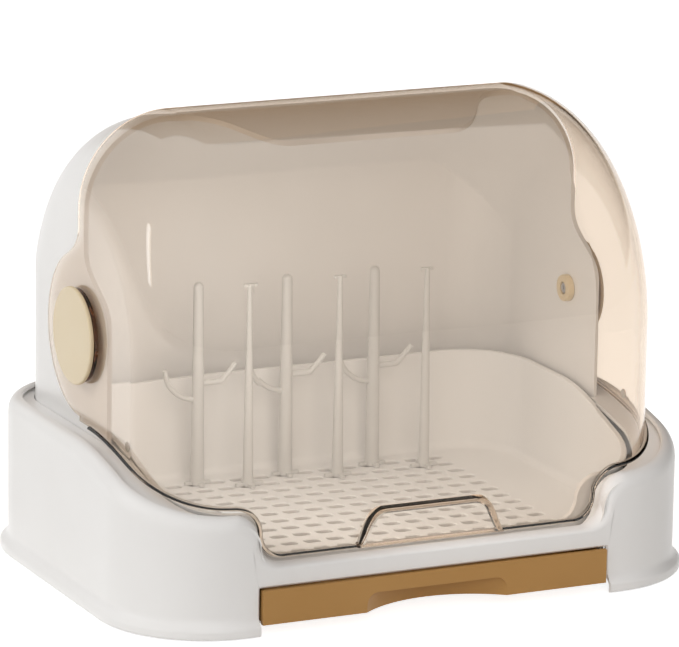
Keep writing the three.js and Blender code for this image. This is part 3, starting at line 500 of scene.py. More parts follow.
def moulded(slot, colour, shade, roughness, grain=1.0, specular=0.5):
    """Moulded plastic: two near colours, a roughness and how strong its grain and its mirror are."""
    material, tree, shader = new_finish(slot)
    smoothest, roughest = roughness * (1 - gloss_drift), roughness * (1 + gloss_drift)
    slow = relief(tree, noise(tree, wave_scale, 1.0), wave_depth)
    set_inputs(shader, {
        "Base Color": drifting(tree, colour, shade),
        "Roughness": spread(tree, noise(tree, gloss_scale), smoothest, roughest),
        "IOR": plastic_ior,
        "Specular IOR Level": specular,
        "Normal": relief(tree, noise(tree, grain_scale), grain_depth * grain, slow),
    })
    return material


white_shell = moulded("white_shell", (0.88, 0.862, 0.845), (0.856, 0.838, 0.818), 0.325)
white_basin = moulded("white_basin", (0.885, 0.878, 0.868), (0.862, 0.853, 0.842), 0.36)
brown_drawer = moulded("brown_drawer", (0.47, 0.255, 0.082), (0.44, 0.235, 0.073), 0.42, 1.6, specular=0.25)
tan_trim = moulded("tan_trim", (0.76, 0.63, 0.425), (0.735, 0.6, 0.395), 0.38, 1.4)
peg_plastic = moulded("peg_plastic", (0.7, 0.69, 0.67), (0.66, 0.65, 0.63), 0.34)
grey_rubber = moulded("grey_rubber", (0.26, 0.25, 0.24), (0.22, 0.21, 0.2), 0.75, 4.0)
print("finishes", [item.name for item in bpy.data.materials if item.get("slot")])

# %% [markdown]
# The small soft pieces are milky silicone, which lets some light in, and the screws are plated steel with
# the faint rings that turning leaves. Both are seen only from close by, so their recipes stay short.

# %% Silicone and steel
def make_silicone():
    """Matt silicone that light enters a little."""
    material, tree, shader = new_finish("milky_silicone")
    set_inputs(shader, {
        "Base Color": drifting(tree, (0.52, 0.49, 0.45), (0.47, 0.44, 0.4), 60),
        "Roughness": 0.5,
        "Subsurface Weight": 0.25,
        "Subsurface Scale": 0.001,
        "Normal": relief(tree, noise(tree, 1800), 0.00001),
    })
    return material


def make_steel():
    """Zinc plated steel with fine turning marks."""
    material, tree, shader = new_finish("screw_steel")
    set_inputs(shader, {
        "Metallic": 1.0,
        "Base Color": drifting(tree, (0.64, 0.64, 0.65), (0.56, 0.56, 0.58), 300),
        "Roughness": spread(tree, noise(tree, 900), 0.29, 0.42),
        "Normal": relief(tree, noise(tree, 5200), 0.000006),
    })
    return material


milky_silicone = make_silicone()
screw_steel = make_steel()
print("small finishes", milky_silicone.name, screw_steel.name)

# %% [markdown]
# The lid is clear amber plastic, 2.5 mm thick. A tint could sit on its surface, but then its edges would
# look no darker than its faces. Real tinted plastic takes colour away along the light's whole path, so the
# colour is absorbed in the volume, and edges and folds turn dark brown by themselves.
# A path tracer is slow to find lamps through true glass. Rays that carry light to what is inside therefore
# pass the surface straight on, and only lose what the tint takes. The camera and mirrors meet true plastic.

# %% The clear amber plastic
lid_wall = 2.5
amber_density = 120.0
amber_kept = (0.649, 0.419, 0.15, 1)
amber_ior = 1.49
surface_pass = (0.965, 0.965, 0.965, 1)


def make_amber():
    """Clear plastic with its tint in the volume."""
    material, tree, shader = new_finish("clear_amber")
    set_inputs(shader, {
        "Base Color": white,
        "Transmission Weight": 1.0,
        "IOR": amber_ior,
        "Roughness": spread(tree, noise(tree, 16, 3.0), 0.004, 0.02),
        "Normal": relief(tree, noise(tree, 9, 1.0), 0.00035),
    })
    through = add_node(tree, "ShaderNodeBsdfTransparent", {"Color": surface_pass})
    choose = add_node(tree, "ShaderNodeMixShader", {
        0: any_ray(tree, "Is Shadow Ray", "Is Diffuse Ray"),
        1: shader.outputs["BSDF"],
        2: through.outputs["BSDF"],
    })
    tint = add_node(tree, "ShaderNodeVolumeAbsorption", {"Color": amber_kept, "Density": amber_density})
    output = tree.nodes["Material Output"]
    set_inputs(output, {"Surface": choose.outputs[0], "Volume": tint.outputs["Volume"]})
    return material


clear_amber = make_amber()
passed = [round(math.exp(-amber_density * (1 - kept) * lid_wall * MM), 2) for kept in amber_kept[:3]]
print("one wall of the lid lets through", passed)

# %% [markdown]
# Every piece is finished alike. Where a width is given, its sharp edges are broken with a narrow bevel, as a
# mould's are.
# Its faces are smoothed without losing their corners, it gets its finish, it rides with the body that it
# moves with, and the plain solid that it stands for is hidden.

# %% Finish a piece
sharp_angle = math.radians(34)
bevel_angle = math.radians(40)
bevel_steps = 2


def dress(piece, material, body, node, edge=0.0):
    """Breaks the edges by the given width in millimetres, smooths the piece and ties it to the frame."""
    piece.data.materials.clear()
    piece.data.materials.append(material)
    if edge:
        bevel = piece.modifiers.new("broken_edges", "BEVEL")
        bevel.width = edge * MM
        bevel.segments = bevel_steps
        bevel.limit_method = "ANGLE"
        bevel.angle_limit = bevel_angle
        bevel.use_clamp_overlap = True
        settle(piece)
    piece.data.shade_smooth()
    piece.data.set_sharp_from_angle(angle=sharp_angle)
    even = piece.modifiers.new("even_normals", "WEIGHTED_NORMAL")
    even.keep_sharp = True
    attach(piece, body)
    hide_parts(node)
    print(piece.name, len(piece.data.polygons), "faces")


# %% [markdown]
# The base's wall follows a rounded rectangle. Its height changes on the way: low along the front, a steep
# step at each end of the front, and then a slow rise round the corner to the high side. One function gives
# the place on the outline and another the height there, and the lid and the basin use the same two.

# %% Curves that the rim, the lid and the basin share
corner_steps = 14
least_spacing = 0.12


def plan_of(half_width, front, back, radius):
    """A rounded rectangle in plan, as the base, the lid and the basin have."""
    straight, quarter, side = half_width - radius, radius * math.pi / 2, back - front - 2 * radius
    return {
        "half_width": half_width, "front": front, "back": back, "radius": radius, "straight": straight,
        "quarter": quarter, "side": side, "half": 2 * (straight + quarter) + side,
    }


def outline_place(plan, distance):
    """The point and the outward direction at a distance from the middle of the front."""
    radius, straight, quarter = plan["radius"], plan["straight"], plan["quarter"]
    left = min(distance, plan["half"])
    if left <= straight:
        return left, plan["front"], 0.0, -1.0
    left -= straight
    if left <= quarter:
        across, along = math.sin(left / radius), -math.cos(left / radius)
        return straight + radius * across, plan["front"] + radius + radius * along, across, along
    left -= quarter
    if left <= plan["side"]:
        return plan["half_width"], plan["front"] + radius + left, 1.0, 0.0
    left -= plan["side"]
    if left <= quarter:
        across, along = math.cos(left / radius), math.sin(left / radius)
        return straight + radius * across, plan["back"] - radius + radius * along, across, along
    return straight - (left - quarter), plan["back"], 0.0, 1.0


def smooth(value):
    held = min(max(value, 0.0), 1.0)
    return held * held * (3 - 2 * held)


def step_share(edge, distance):
    """How far up the steep step an edge has come: two quarter circles, one after the other."""
    place = min(max((distance - edge["middle"]) / edge["reach"], -1.0), 1.0)
    if place < 0:
        return (1 - math.sqrt(1 - (place + 1) ** 2)) / 2
    return (1 + math.sqrt(1 - (1 - place) ** 2)) / 2


def edge_height(edge, distance):
    step = edge["front"] + (edge["corner"] - edge["front"]) * step_share(edge, distance)
    rise = smooth((distance - edge["rise_start"]) / (edge["rise_end"] - edge["rise_start"]))
    return step + (edge["side"] - edge["corner"]) * rise


def stations_of(plan, edge, step_count=22, rise_count=36, front_count=10):
    """Where the sections of such a wall stand: close together on the step, wide apart elsewhere."""
    before, after = edge["middle"] - edge["reach"], edge["middle"] + edge["reach"]
    places = [before * number / front_count for number in range(front_count)]
    for number in range(step_count + 1):
        away = edge["reach"] * (1 - math.sin(math.pi / 2 * number / step_count))
        places += [edge["middle"] - away, edge["middle"] + away]
    rise = edge["rise_end"] - after
    places += [after + rise * number / rise_count for number in range(1, rise_count + 1)]
    back_turn = plan["half"] - plan["straight"] - plan["quarter"]
    places += [back_turn + plan["quarter"] * number / corner_steps for number in range(corner_steps + 1)]
    places = sorted(places + [plan["half"]])
    kept = [places[0]]
    for place in places[1:]:
        if place - kept[-1] > least_spacing:
            kept.append(place)
    return kept


def swept(name, plan, stations, section_at):
    """A wall round a rounded rectangle. Its section gives offset, height and shift along the outline."""
    def row_at(distance, side):
        row = []
        for offset, height, *shift in section_at(distance):
            x, y, across, along = outline_place(plan, distance + (shift[0] if shift else 0))
            row.append((side * (x + across * offset), y + along * offset, height))
        return row

    rows = [row_at(distance, 1) for distance in stations]
    rows += [row_at(distance, -1) for distance in reversed(stations[1:-1])]
    return looped(name, rows)


# %% [markdown]
# The base is a thin wall with three details that catch the light: a foot that flares out in a soft S, a
# rolled rim that is narrow in front and deep at the sides, and the step between them. A bevel could not
# make the roll, because its depth changes, so the roll is part of the section.

# %% The base
foot_flare = 5.0
foot_height = 6.5
foot_blend_height = 7.5
foot_toe = 2.2
body_wall = 2.8
body_corner_radius = 62.0
body_half_width = base_high.x - foot_flare
body_half_depth = base_high.y - foot_flare
body_front = -body_half_depth
ground_clearance = base_low.z
roll_width = 9.0
roll_drop_front = 3.0
roll_drop_side = 9.5
roll_shift = 6.0
roll_sink = 0.14
roll_steps = 10
nose = 1.1
rim_front_height = 42.0
rim_corner_height = 72.5
rim_side_height = base_high.z
rim_step_middle = body_half_width - 72.5
rim_rise_delay = 18.5
rim_rise_past_side = 100.0
rim_step_reach = 15.0

body_plan = plan_of(body_half_width, body_front, body_half_depth, body_corner_radius)
rim_edge = {
    "front": rim_front_height,
    "corner": rim_corner_height,
    "side": rim_side_height,
    "middle": rim_step_middle,
    "reach": rim_step_reach,
    "rise_start": rim_step_middle + rim_rise_delay,
    "rise_end": body_half_width + rim_rise_past_side,
}


def base_section(distance):
    """One section of the base's wall: up the outside, over the roll, round its nose and down inside."""
    top = edge_height(rim_edge, distance)
    drop = roll_drop_front + (roll_drop_side - roll_drop_front) * step_share(rim_edge, distance)
    apart = max(abs(distance - rim_edge["middle"]) - rim_edge["reach"], 0) / rim_edge["reach"]
    shift = roll_shift * (1 - smooth(apart))
    blend = foot_height + foot_blend_height
    reach = roll_width - nose
    thick = min(drop, body_wall) + roll_sink
    fall = drop + roll_sink - thick
    turn = foot_height + 2

    def rolled(points, start, depth):
        return [(across, height, shift * (start - height) / depth) for across, height in points]

    inside = arc(-reach, top - drop - roll_sink, reach - body_wall, 90, 0, roll_steps, fall)[1:]
    return [
        *arc(foot_flare - foot_toe, ground_clearance + foot_toe, foot_toe, -90, 0, 5),
        *bezier((foot_flare, foot_height - 1), (foot_flare, turn), (0, turn), (0, blend), 9),
        *rolled(arc(-reach, top - drop, reach, 0, 90, roll_steps, drop), top, drop),
        *arc(-reach, top - nose, nose, 90, 180, 4)[1:],
        *arc(-reach, top - thick + nose, nose, 180, 270, 4),
        *rolled(inside, top - thick, fall),
        (-body_wall, blend),
        (foot_flare * 0.35 - body_wall, foot_height + foot_blend_height * 0.4),
        (foot_flare - body_wall, foot_height - 0.8),
        (foot_flare - body_wall, ground_clearance),
    ]


wall_stations = stations_of(body_plan, rim_edge)
base = swept("base_housing_shell", body_plan, wall_stations, base_section)
print("the base wall has", len(wall_stations), "sections of", len(base_section(0)), "points")

# %% [markdown]
# Inside the wall lies the deck that the basin and the cover stand on, with one large opening for drips and
# four bosses that the rubber feet sit under. A thin ledge under the rim closes the gap round basin and
# cover. The drawer's mouth is cut through the front wall and the foot. Its cutter widens towards the
# outside, which leaves the narrow chamfer that shows beside the drawer.

# %% The deck, the mouth and the screw holes
deck_low = 29.5
deck_high = 32.5
seat_gap = 0.3
overrun = 20.0
mouth_gap = 1.0
mouth_chamfer = 1.1
opening_half_width = drawer_high.x - 8
opening_front = -100.0
opening_back = 76.0
opening_radius = 8.0
boss_radius = 11.0
boss_edge = 0.6
pads = ["front_left", "front_right", "back_left", "back_right"]
cover_screws = [f"rear_cover_screw_{number}" for number in range(1, 5)]
runner_screws = [f"runner_screw_{number}" for number in range(1, 5)]
screw_hole_radius = 1.9
basin_front = body_front + 17.5
ledge_drop = 4.5
ledge_thickness = 2.4
ledge_reach = 40.0
ledge_clearance = 1.0
basin_room_radius = 47.0
cover_room_radius = 36.0
ear_setback = 11.9
ear_square_depth = 40.0


def screw_hole(node, low, high):
    """A cutter for a screw's hole, upright through the middle of the screw."""
    place = middle_of(node)
    return turned("screw_hole", [(screw_hole_radius, low), (screw_hole_radius, high)], place.x, place.y, 24)


def ledge_section(distance):
    top = edge_height(rim_edge, distance) - ledge_drop
    low, outer = top - ledge_thickness, -body_wall / 2
    return [(-ledge_reach, low), (outer, low), (outer, top), (-ledge_reach, top)]


def inner_ledge():
    """A thin shelf just under the rim, with room for the basin and for the cover and its square ears."""
    ledge = swept("inner_ledge", body_plan, wall_stations, ledge_section)
    gap = ledge_clearance
    basin_half, cover_half, ears = basin_high.x + gap, cover_high.x + gap / 2, cover_low.y + ear_setback
    for room in (
        rounded(-basin_half, basin_half, basin_front - gap, basin_high.y + gap, basin_room_radius, 20),
        rounded(-cover_half, cover_half, ears, cover_high.y + gap / 2, cover_room_radius, 20),
        rectangle(cover_half, ears, ear_square_depth),
    ):
        cut(ledge, block("room", room, at_z, -overrun, base_high.z + overrun))
    return ledge


def mouth():
    """The drawer's mouth, wider by a chamfer outside the wall."""
    rings = []
    for y, grown in (
        (body_front - foot_flare - overrun, mouth_chamfer), (body_front - 0.01, mouth_chamfer),
        (body_front + mouth_chamfer, 0), (body_front + body_wall + 4, 0),
    ):
        half, top = drawer_high.x + mouth_gap + grown, drawer_high.z + mouth_gap + grown
        rings.append(at_y(rectangle(half, -overrun, top), y))
    return stacked("mouth", rings)


def finish_base():
    """The deck and its bosses join the wall, and the openings are cut."""
    half, depth = body_half_width - body_wall / 2, body_half_depth - body_wall / 2
    outline = rounded(-half, half, -depth, depth, body_corner_radius - body_wall / 2, 20)
    opening = rounded(-opening_half_width, opening_half_width, opening_front, opening_back, opening_radius, 8)
    deck = block("deck", outline, at_z, deck_low, deck_high)
    join(base, cut(deck, block("drip_opening", opening, at_z, deck_low - 5, deck_high + 5)))
    join(base, inner_ledge())
    for place in pads:
        node = f"foot_pad_{place}"
        middle, foot = middle_of(node), span_of(node)[1].z + seat_gap
        boss = [(boss_radius - boss_edge, foot), (boss_radius, foot + boss_edge), (boss_radius, deck_low + 1)]
        join(base, turned("boss", boss, middle.x, middle.y, 48))
    cut(base, mouth())
    for node in cover_screws + runner_screws:
        cut(base, screw_hole(node, deck_low - 3, deck_high + 3))
    dress(base, white_shell, "housing", "base_housing")


finish_base()

# %% [markdown]
# Four rubber pads carry the box. Each is turned, with a rounded lower edge and a shallow ring that lets it
# grip. The two runners under the deck are bent strips, so each is one outline carried from front to back.

# %% The pads and the runners
pad_radius = 10.0
runner_web = 2.4
runner_shelf = 9.5
runner_sheet = 2.0


def make_pad(place):
    low, high = span_of(f"foot_pad_{place}")
    middle, tall = (low + high) / 2, high.z - low.z
    pad = turned(f"rubber_pad_{place}", [
        (3.0, 0.5), (5.0, 0.5), (5.4, 0), (pad_radius - 0.8, 0), (pad_radius - 0.2, 0.3), (pad_radius, 0.9),
        (pad_radius, tall - 0.3), (pad_radius - 0.3, tall),
    ], middle.x, middle.y)
    dress(pad, grey_rubber, "housing", f"foot_pad_{place}")


def make_runner(side, sign):
    """An angle strip: a top flange under the deck, a web and a foot that carries the drawer."""
    name = f"drawer_runner_{side}"
    low, high = span_of(name)
    inner, outer = sorted((abs(low.x), abs(high.x)))
    web_out = inner + runner_shelf
    web_in = web_out - runner_web
    foot, top = low.z, high.z
    under, over = top - runner_sheet, foot + runner_sheet
    outline = [(sign * x, z) for x, z in (
        (inner, foot), (web_out, foot), (web_out, under), (outer, under), (outer, top), (web_in, top),
        (web_in, over), (inner, over),
    )]
    runner = block(f"runner_{side}", outline, at_y, low.y, high.y)
    for node in runner_screws:
        if middle_of(node).x * sign > 0:
            cut(runner, screw_hole(node, top - 6, top + 3))
    dress(runner, white_shell, "housing", name, edge=0.3)


for place in pads:
    make_pad(place)
for side, sign in (("left", -1), ("right", 1)):
    make_runner(side, sign)

# %% [markdown]
# Each screw has a low domed head with a cross recess, driven from below. A boolean cut with two crossed
# bars gives the recess, and the shank ends in a short point.

# %% The screws
screw_head_height = 1.8
screw_head = [(0.72, 0), (0.92, 0.25), (1, 0.8), (1, screw_head_height)]
shank_share = 1.5 / 3.2
hinge_shank_share = 1.2 / 3.4
cross_length_share = 0.62
cross_width_share = 0.13
cross_depth = 1.15


def cross_bars(a, b):
    """A cross of bars, half as wide at its end, as the tip of a driver has."""
    half = [(a, b), (b, b), (b, a), (-b, a), (-b, b), (-a, b)]
    outline = half + [(-x, -y) for x, y in half]
    return stacked("cross", [at_z([(x * 0.5, y * 0.5) for x, y in outline], cross_depth), at_z(outline, -1)])


def make_screw(node):
    """Built upright with its head down, then turned to point as the frame's plain screw does."""
    low, high = span_of(node)
    size, middle = high - low, (low + high) / 2
    lying = size.x > size.z
    tall = size.x if lying else size.z
    head = max(size.y, size.z) / 2 if lying else size.x / 2
    shank = head * (hinge_shank_share if lying else shank_share)
    profile = [(head * share, height) for share, height in screw_head]
    profile += [(shank, screw_head_height), (shank, tall - 1.0), (shank * 0.45, tall)]
    screw = turned(f"{node}_turned", profile, 0, 0, 48)
    cut(screw, cross_bars(head * cross_length_share, head * cross_width_share))
    seat = Vector((middle.x, middle.y, low.z))
    if lying:
        outward = 1 if middle.x > 0 else -1
        screw.data.transform(Matrix.Rotation(outward * math.pi / 2, 4, "Y"))
        seat = Vector((low.x if outward > 0 else high.x, middle.y, middle.z))
    screw.data.transform(Matrix.Translation(seat * MM))
    dress(screw, screw_steel, "housing", node)


for node in cover_screws + runner_screws + ["hinge_screw_left", "hinge_screw_right"]:
    make_screw(node)

# %% [markdown]
# The drawer is a shallow tray. Its finger recess is scooped out under the front: in plan a piece of a
# circle, from the front a flat arch. The tray keeps a skin round the recess, so its floor steps up there.

# %% The drip drawer
panel_thickness = 3.2
drawer_wall = 2.0
drawer_box_inset = 2.5
drawer_box_drop = 1.2
drawer_corner_radius = 6.0
grip_half_width = 46.0
grip_depth = 16.0
grip_height = 11.8
grip_corner = 8.0
grip_corner_drop = 9.0
drawer_front, drawer_back = drawer_low.y, drawer_high.y
drawer_bottom, drawer_top = drawer_low.z, drawer_high.z


def grip_space(grown):
    """The finger recess, or the skin round it when grown."""
    radius = (grip_half_width ** 2 + grip_depth ** 2) / (2 * grip_depth)
    low, high = drawer_bottom - overrun, drawer_top + overrun
    profile = [(radius + grown, low), (radius + grown, high)]
    scoop = turned("scoop", profile, 0, drawer_front + grip_depth - radius, 256)
    half, top = grip_half_width + grown, drawer_bottom + grip_height + grown
    corner = bezier(
        (half, top - grip_corner_drop), (half, top - grip_corner_drop / 3), (half - grip_corner / 3, top),
        (half - grip_corner, top), 12,
    )
    front, back = drawer_front - overrun, drawer_front + grip_depth + overrun
    return keep(scoop, block("arch", mirrored([(half, low), *corner]), at_y, front, back))


def make_drawer():
    half, behind = drawer_high.x, drawer_front + panel_thickness
    box_half = half - drawer_box_inset
    outline = rounded(-box_half, box_half, drawer_front + panel_thickness / 2, drawer_back, drawer_wall, 4)
    drawer = block("drip_drawer_tray", outline, at_z, drawer_bottom, drawer_top - drawer_box_drop)
    join(drawer, block("panel", rectangle(half, drawer_bottom, drawer_top), at_y, drawer_front, behind))
    inner_half = box_half - drawer_wall
    inner = rounded(-inner_half, inner_half, behind, drawer_back - drawer_wall, drawer_corner_radius, 8)
    hollow = block("hollow", inner, at_z, drawer_bottom + drawer_wall, drawer_top + overrun)
    cut(drawer, cut(hollow, grip_space(drawer_wall)))
    cut(drawer, grip_space(0))
    dress(drawer, brown_drawer, "drip_drawer", "drip_drawer", edge=0.45)


make_drawer()

# %% [markdown]
# The basin lifts out. Its edge follows the base's rim just inside the lid: low in front, stepping up, then
# rising. The walls lean out a little, a narrow lip runs along the top, and the floor is full of slots with
# round ends. One cutter holds all the slots, and each slot widens at the top, which softens its edge.

# %% The drain basin
basin_wall = 2.2
basin_draft = 6.0
basin_floor_thickness = 2.4
basin_foot_round = 5.0
basin_lip_width = 1.6
basin_lip_height = 2.6
basin_lip_round = 0.8
basin_bottom = basin_low.z
basin_floor = basin_bottom + basin_floor_thickness
basin_plan = plan_of(basin_high.x, basin_front, basin_high.y, 46.0)
basin_step_middle = basin_high.x - 53
basin_edge = {
    "front": rim_front_height - 1,
    "corner": rim_corner_height - 3.5,
    "side": basin_high.z,
    "middle": basin_step_middle,
    "reach": 14.0,
    "rise_start": basin_step_middle + 18,
    "rise_end": basin_high.x + 105,
}
slot_length = 10.5
slot_width = 7.0
slot_end_radius = 2.6
slot_pitch_x = 15.0
slot_pitch_y = 15.5
slot_columns = 14
slot_rows = 11
slot_last_row = basin_high.y - 27
slot_softness = 0.6


def basin_lean(height):
    """How far the wall leans in at a height."""
    share = (basin_edge["side"] - height) / (basin_edge["side"] - basin_floor)
    return -basin_draft * max(share, 0)


def basin_section(distance):
    """One section of the basin's wall: foot, outside, lip, inside and the round onto the floor."""
    top = edge_height(basin_edge, distance)
    lean, foot = basin_lean(top), basin_lean(basin_floor)
    under, lip = top - basin_lip_height, lean - basin_lip_width
    back, inner = lip - basin_wall, foot - basin_wall
    deep = inner - 2 * basin_foot_round
    return [
        *arc(foot - basin_foot_round, basin_bottom + 3, basin_foot_round, -90, 0, 7, 3),
        (lip, under - 0.5), (lip + 0.4, under), (lean - 0.4, under),
        *arc(lean - basin_lip_round, top - basin_lip_round, basin_lip_round, 0, 90, 4),
        *arc(back + basin_lip_round, top - basin_lip_round, basin_lip_round, 90, 180, 4),
        *arc(inner - basin_foot_round, basin_floor + basin_foot_round, basin_foot_round, 0, -90, 9),
        (deep, basin_floor), (deep, basin_bottom),
    ]


def slots():
    """All the slots in one cutter. Each is a stack of rings that widens above the floor's soft edge."""
    points, faces = [], []
    levels = [(basin_bottom - 2, 0), (basin_floor - slot_softness, 0)]
    levels += [(basin_floor, slot_softness), (basin_floor + 2, 2)]
    for column in range(slot_columns):
        for row in range(slot_rows):
            x = (column - (slot_columns - 1) / 2) * slot_pitch_x
            y = slot_last_row - row * slot_pitch_y
            start = len(points)
            for height, grown in levels:
                long, wide = slot_length / 2 + grown, slot_width / 2 + grown
                ring = rounded(x - long, x + long, y - wide, y + wide, min(wide, slot_end_radius + grown), 4)
                points += at_z(ring, height)
            faces += stack_faces(start, len(ring), len(levels))
    return put("slots", points, faces)


def make_basin():
    basin = swept("drain_basin_shell", basin_plan, stations_of(basin_plan, basin_edge), basin_section)
    inset = basin_lean(basin_floor) - basin_wall - basin_foot_round - 2
    half, radius = basin_high.x + inset, basin_plan["radius"] + inset
    plate = rounded(-half, half, basin_front - inset, basin_high.y + inset, radius, 20)
    join(basin, block("basin_floor", plate, at_z, basin_bottom, basin_floor))
    cut(basin, slots())
    dress(basin, white_basin, "drain_basin", "drain_basin")
    print("slots", slot_columns * slot_rows)


make_basin()

# %% [markdown]
# The cover and the lid are two domes with the same axis, so that one can turn over the other. A dome is an
# arch drawn along the box, with its ends rounded over like a loaf of bread. Upright walls stand under it.

# %% A dome round the hinge axis
def dome(name, radius, half_width, fillet, bottom, skin, arch_steps=112, round_steps=22):
    """A solid dome. The skin is how far inside the named sizes its surface lies."""
    profile = [(hinge_y - radius, bottom, -1.0, 0.0)]
    for step in range(arch_steps + 1):
        angle = math.pi * (1 - step / arch_steps)
        across, up = math.cos(angle), math.sin(angle)
        profile.append((hinge_y + radius * across, hinge_z + radius * up, across, up))
    profile.append((hinge_y + radius, bottom, 1.0, 0.0))
    reach = fillet - skin
    rings = []
    for y, z, across, up in profile:
        ring = []
        for step in range(round_steps + 1):
            angle = math.pi / 2 * step / round_steps
            side, outward = half_width - fillet + reach * math.cos(angle), reach * math.sin(angle) - fillet
            ring.append((side, y + across * outward, z + up * outward))
        rings.append(ring + [(-x, y, z) for x, y, z in reversed(ring)])
    count = len(rings[0])
    starts = range(0, len(rings) * count, count)
    faces = [list(starts), [start + count - 1 for start in starts]]
    faces.append(list(range(count)) + [starts[-1] + place for place in reversed(range(count))])
    for start in starts[:-1]:
        faces += ring_faces(start, start + count, count)[:-1]
    return put(name, [point for ring in rings for point in ring], faces)


# %% [markdown]
# The rear cover is the white back half. Its side walls reach forward as ears that carry the hinge, its
# front edge runs up from them in an S, and over the middle its roof bulges forward as a low visor.

# %% The rear cover
cover_half_width = cover_high.x
cover_wall = 2.8
cover_radius = cover_high.z - hinge_z
cover_top = hinge_z + cover_radius + overrun
cover_fillet = 53.0
cover_back_fillet = 36.0
ear_front = hinge_y - 36.5
ear_step_bottom = hinge_z + 10.5
ear_step_top = hinge_z + 52.5
roof_edge_height = hinge_z + cover_radius - 18
roof_edge_overlap = 4.0
visor_front = hinge_y - 49
visor_flat_half_width = cover_half_width - 111.5
visor_half_width = cover_half_width - 51.5
cover_boss_radius = 4.5
cover_boss_height = 17.0
boss_hole_floor = 1.4
stem_radius = 6.2
running_gap = 0.35


def cover_body(name, bottom, skin):
    """The cover's dome with its flat back and round back corners."""
    half, front, back = cover_half_width - skin, hinge_y - cover_radius - overrun, cover_high.y - skin
    outline = rounded(-half, half, front, back, cover_back_fillet - skin, 18)
    body = dome(name, cover_radius, cover_half_width, cover_fillet, bottom, skin)
    return keep(body, block("cover_plan", outline, at_z, bottom - overrun, cover_top))


def cover_front_cut():
    """All that lies in front of the ears and, seen from above, in front of the visor."""
    far, wide = hinge_y - cover_radius - overrun, cover_half_width + overrun
    low, high = ear_step_bottom, ear_step_top
    middle = (low + high) / 2
    step = bezier((ear_front, low), (ear_front, middle), (hinge_y, middle), (hinge_y, high), 28)
    ears = [(far, -overrun), (ear_front, -overrun), *step]
    ears += [(hinge_y, roof_edge_height), (far, roof_edge_height)]
    near, tip = visor_half_width, visor_flat_half_width
    pull = (near + tip) / 2
    swing = bezier((near, hinge_y), (pull, hinge_y), (pull, visor_front), (tip, visor_front), 28)
    roof = mirrored([(wide, far), (wide, hinge_y), *swing])
    sides = block("ear_cut", ears, at_x, -wide, wide)
    return join(sides, block("roof_cut", roof, at_z, roof_edge_height - roof_edge_overlap, cover_top))


def hinge_bore(radius, place, side):
    """A cutter on the hinge axis that leaves a running gap round a stem."""
    bore = radius + running_gap
    return turned_across("bore", [(bore, place - overrun), (bore, place + overrun)], side)


def make_cover():
    bottom = cover_low.z
    cover = cover_body("rear_cover_shell", bottom, 0)
    cut(cover, cover_body("cover_hollow", bottom - overrun, cover_wall))
    boss_top = bottom + cover_boss_height
    for node in cover_screws:
        place = middle_of(node)
        profile = [(cover_boss_radius, bottom), (cover_boss_radius, boss_top)]
        join(cover, turned("cover_boss", profile, place.x, place.y, 40))
        cut(cover, screw_hole(node, bottom - 4, boss_top - boss_hole_floor))
    cut(cover, cover_front_cut())
    for side in (-1, 1):
        cut(cover, hinge_bore(stem_radius, cover_half_width, side))
    dress(cover, white_shell, "housing", "rear_cover", edge=0.5)


make_cover()

# %% [markdown]
# The lid's lower edge runs just above the base's rim and ends in a rounded bead. The edge is a curve in two
# senses: it follows the lid's own outline in plan, and the rim's steps in height. So the bead is swept along
# points found on the lid's wall, with its section square to the path, and the wall is cut along the same
# path. Where the edge is steep, a gap measured upright would close, and one measured square to it doesn't.

# %% The path of the lid's lower edge
lid_bead_width = 2.6
lid_bead_height = 2.6
lid_half_width = lid_high.x - lid_bead_width
lid_radius = lid_high.z - hinge_z
lid_fillet = 57.0
lid_rim_gap = 1.3
lid_step_shift = 2.0
lid_edge_past_rise = 40.0
lid_search_reach = 60.0
lid_search_steps = 40
tiny = 0.01
lid_edge = {
    **rim_edge,
    "front": rim_front_height + lid_rim_gap,
    "corner": rim_corner_height + lid_rim_gap,
    "side": rim_side_height + lid_rim_gap,
    "middle": rim_edge["middle"] - lid_step_shift,
}


def outside_lid(x, y):
    """How far a point in plan lies outside the lid's outline: below zero inside it."""
    across = abs(x) - (lid_half_width - lid_fillet)
    along = (hinge_y - lid_radius + lid_fillet) - y
    return math.hypot(max(across, 0), max(along, 0)) + min(max(across, along), 0) - lid_fillet


def lid_place(distance):
    """Where the line inward from the base's outline meets the lid's wall, and the wall's direction there."""
    x, y, across, along = outline_place(body_plan, distance)
    near, far = 0.0, lid_search_reach
    for _ in range(lid_search_steps):
        middle = (near + far) / 2
        if outside_lid(x - across * middle, y - along * middle) > 0:
            near = middle
        else:
            far = middle
    x, y = x - across * near, y - along * near
    slope_x = outside_lid(x + tiny, y) - outside_lid(x - tiny, y)
    slope_y = outside_lid(x, y + tiny) - outside_lid(x, y - tiny)
    return x, y, Vector((slope_x, slope_y, 0)).normalized()


def edge_path(away):
    """Distance and height pairs of the lower edge, moved up square to itself."""
    end = lid_edge["rise_end"] + lid_edge_past_rise
    stations = [place for place in stations_of(body_plan, lid_edge, 30, 40) if place < end]
    bare = [(place, edge_height(lid_edge, place)) for place in stations]
    path = []
    for number, (place, height) in enumerate(bare):
        before, after = bare[max(number - 1, 0)], bare[min(number + 1, len(bare) - 1)]
        along, up = after[0] - before[0], after[1] - before[1]
        length = math.hypot(along, up)
        moved = (place - away * up / length if number else 0.0, height + away * along / length)
        if not path or moved[0] > path[-1][0] + 0.02:
            path.append(moved)
    return path


lid_edge_heights = [round(height, 1) for place, height in edge_path(0)]
print("the lid's edge starts", lid_edge_heights[0], "mm high and ends", lid_edge_heights[-1], "mm high")

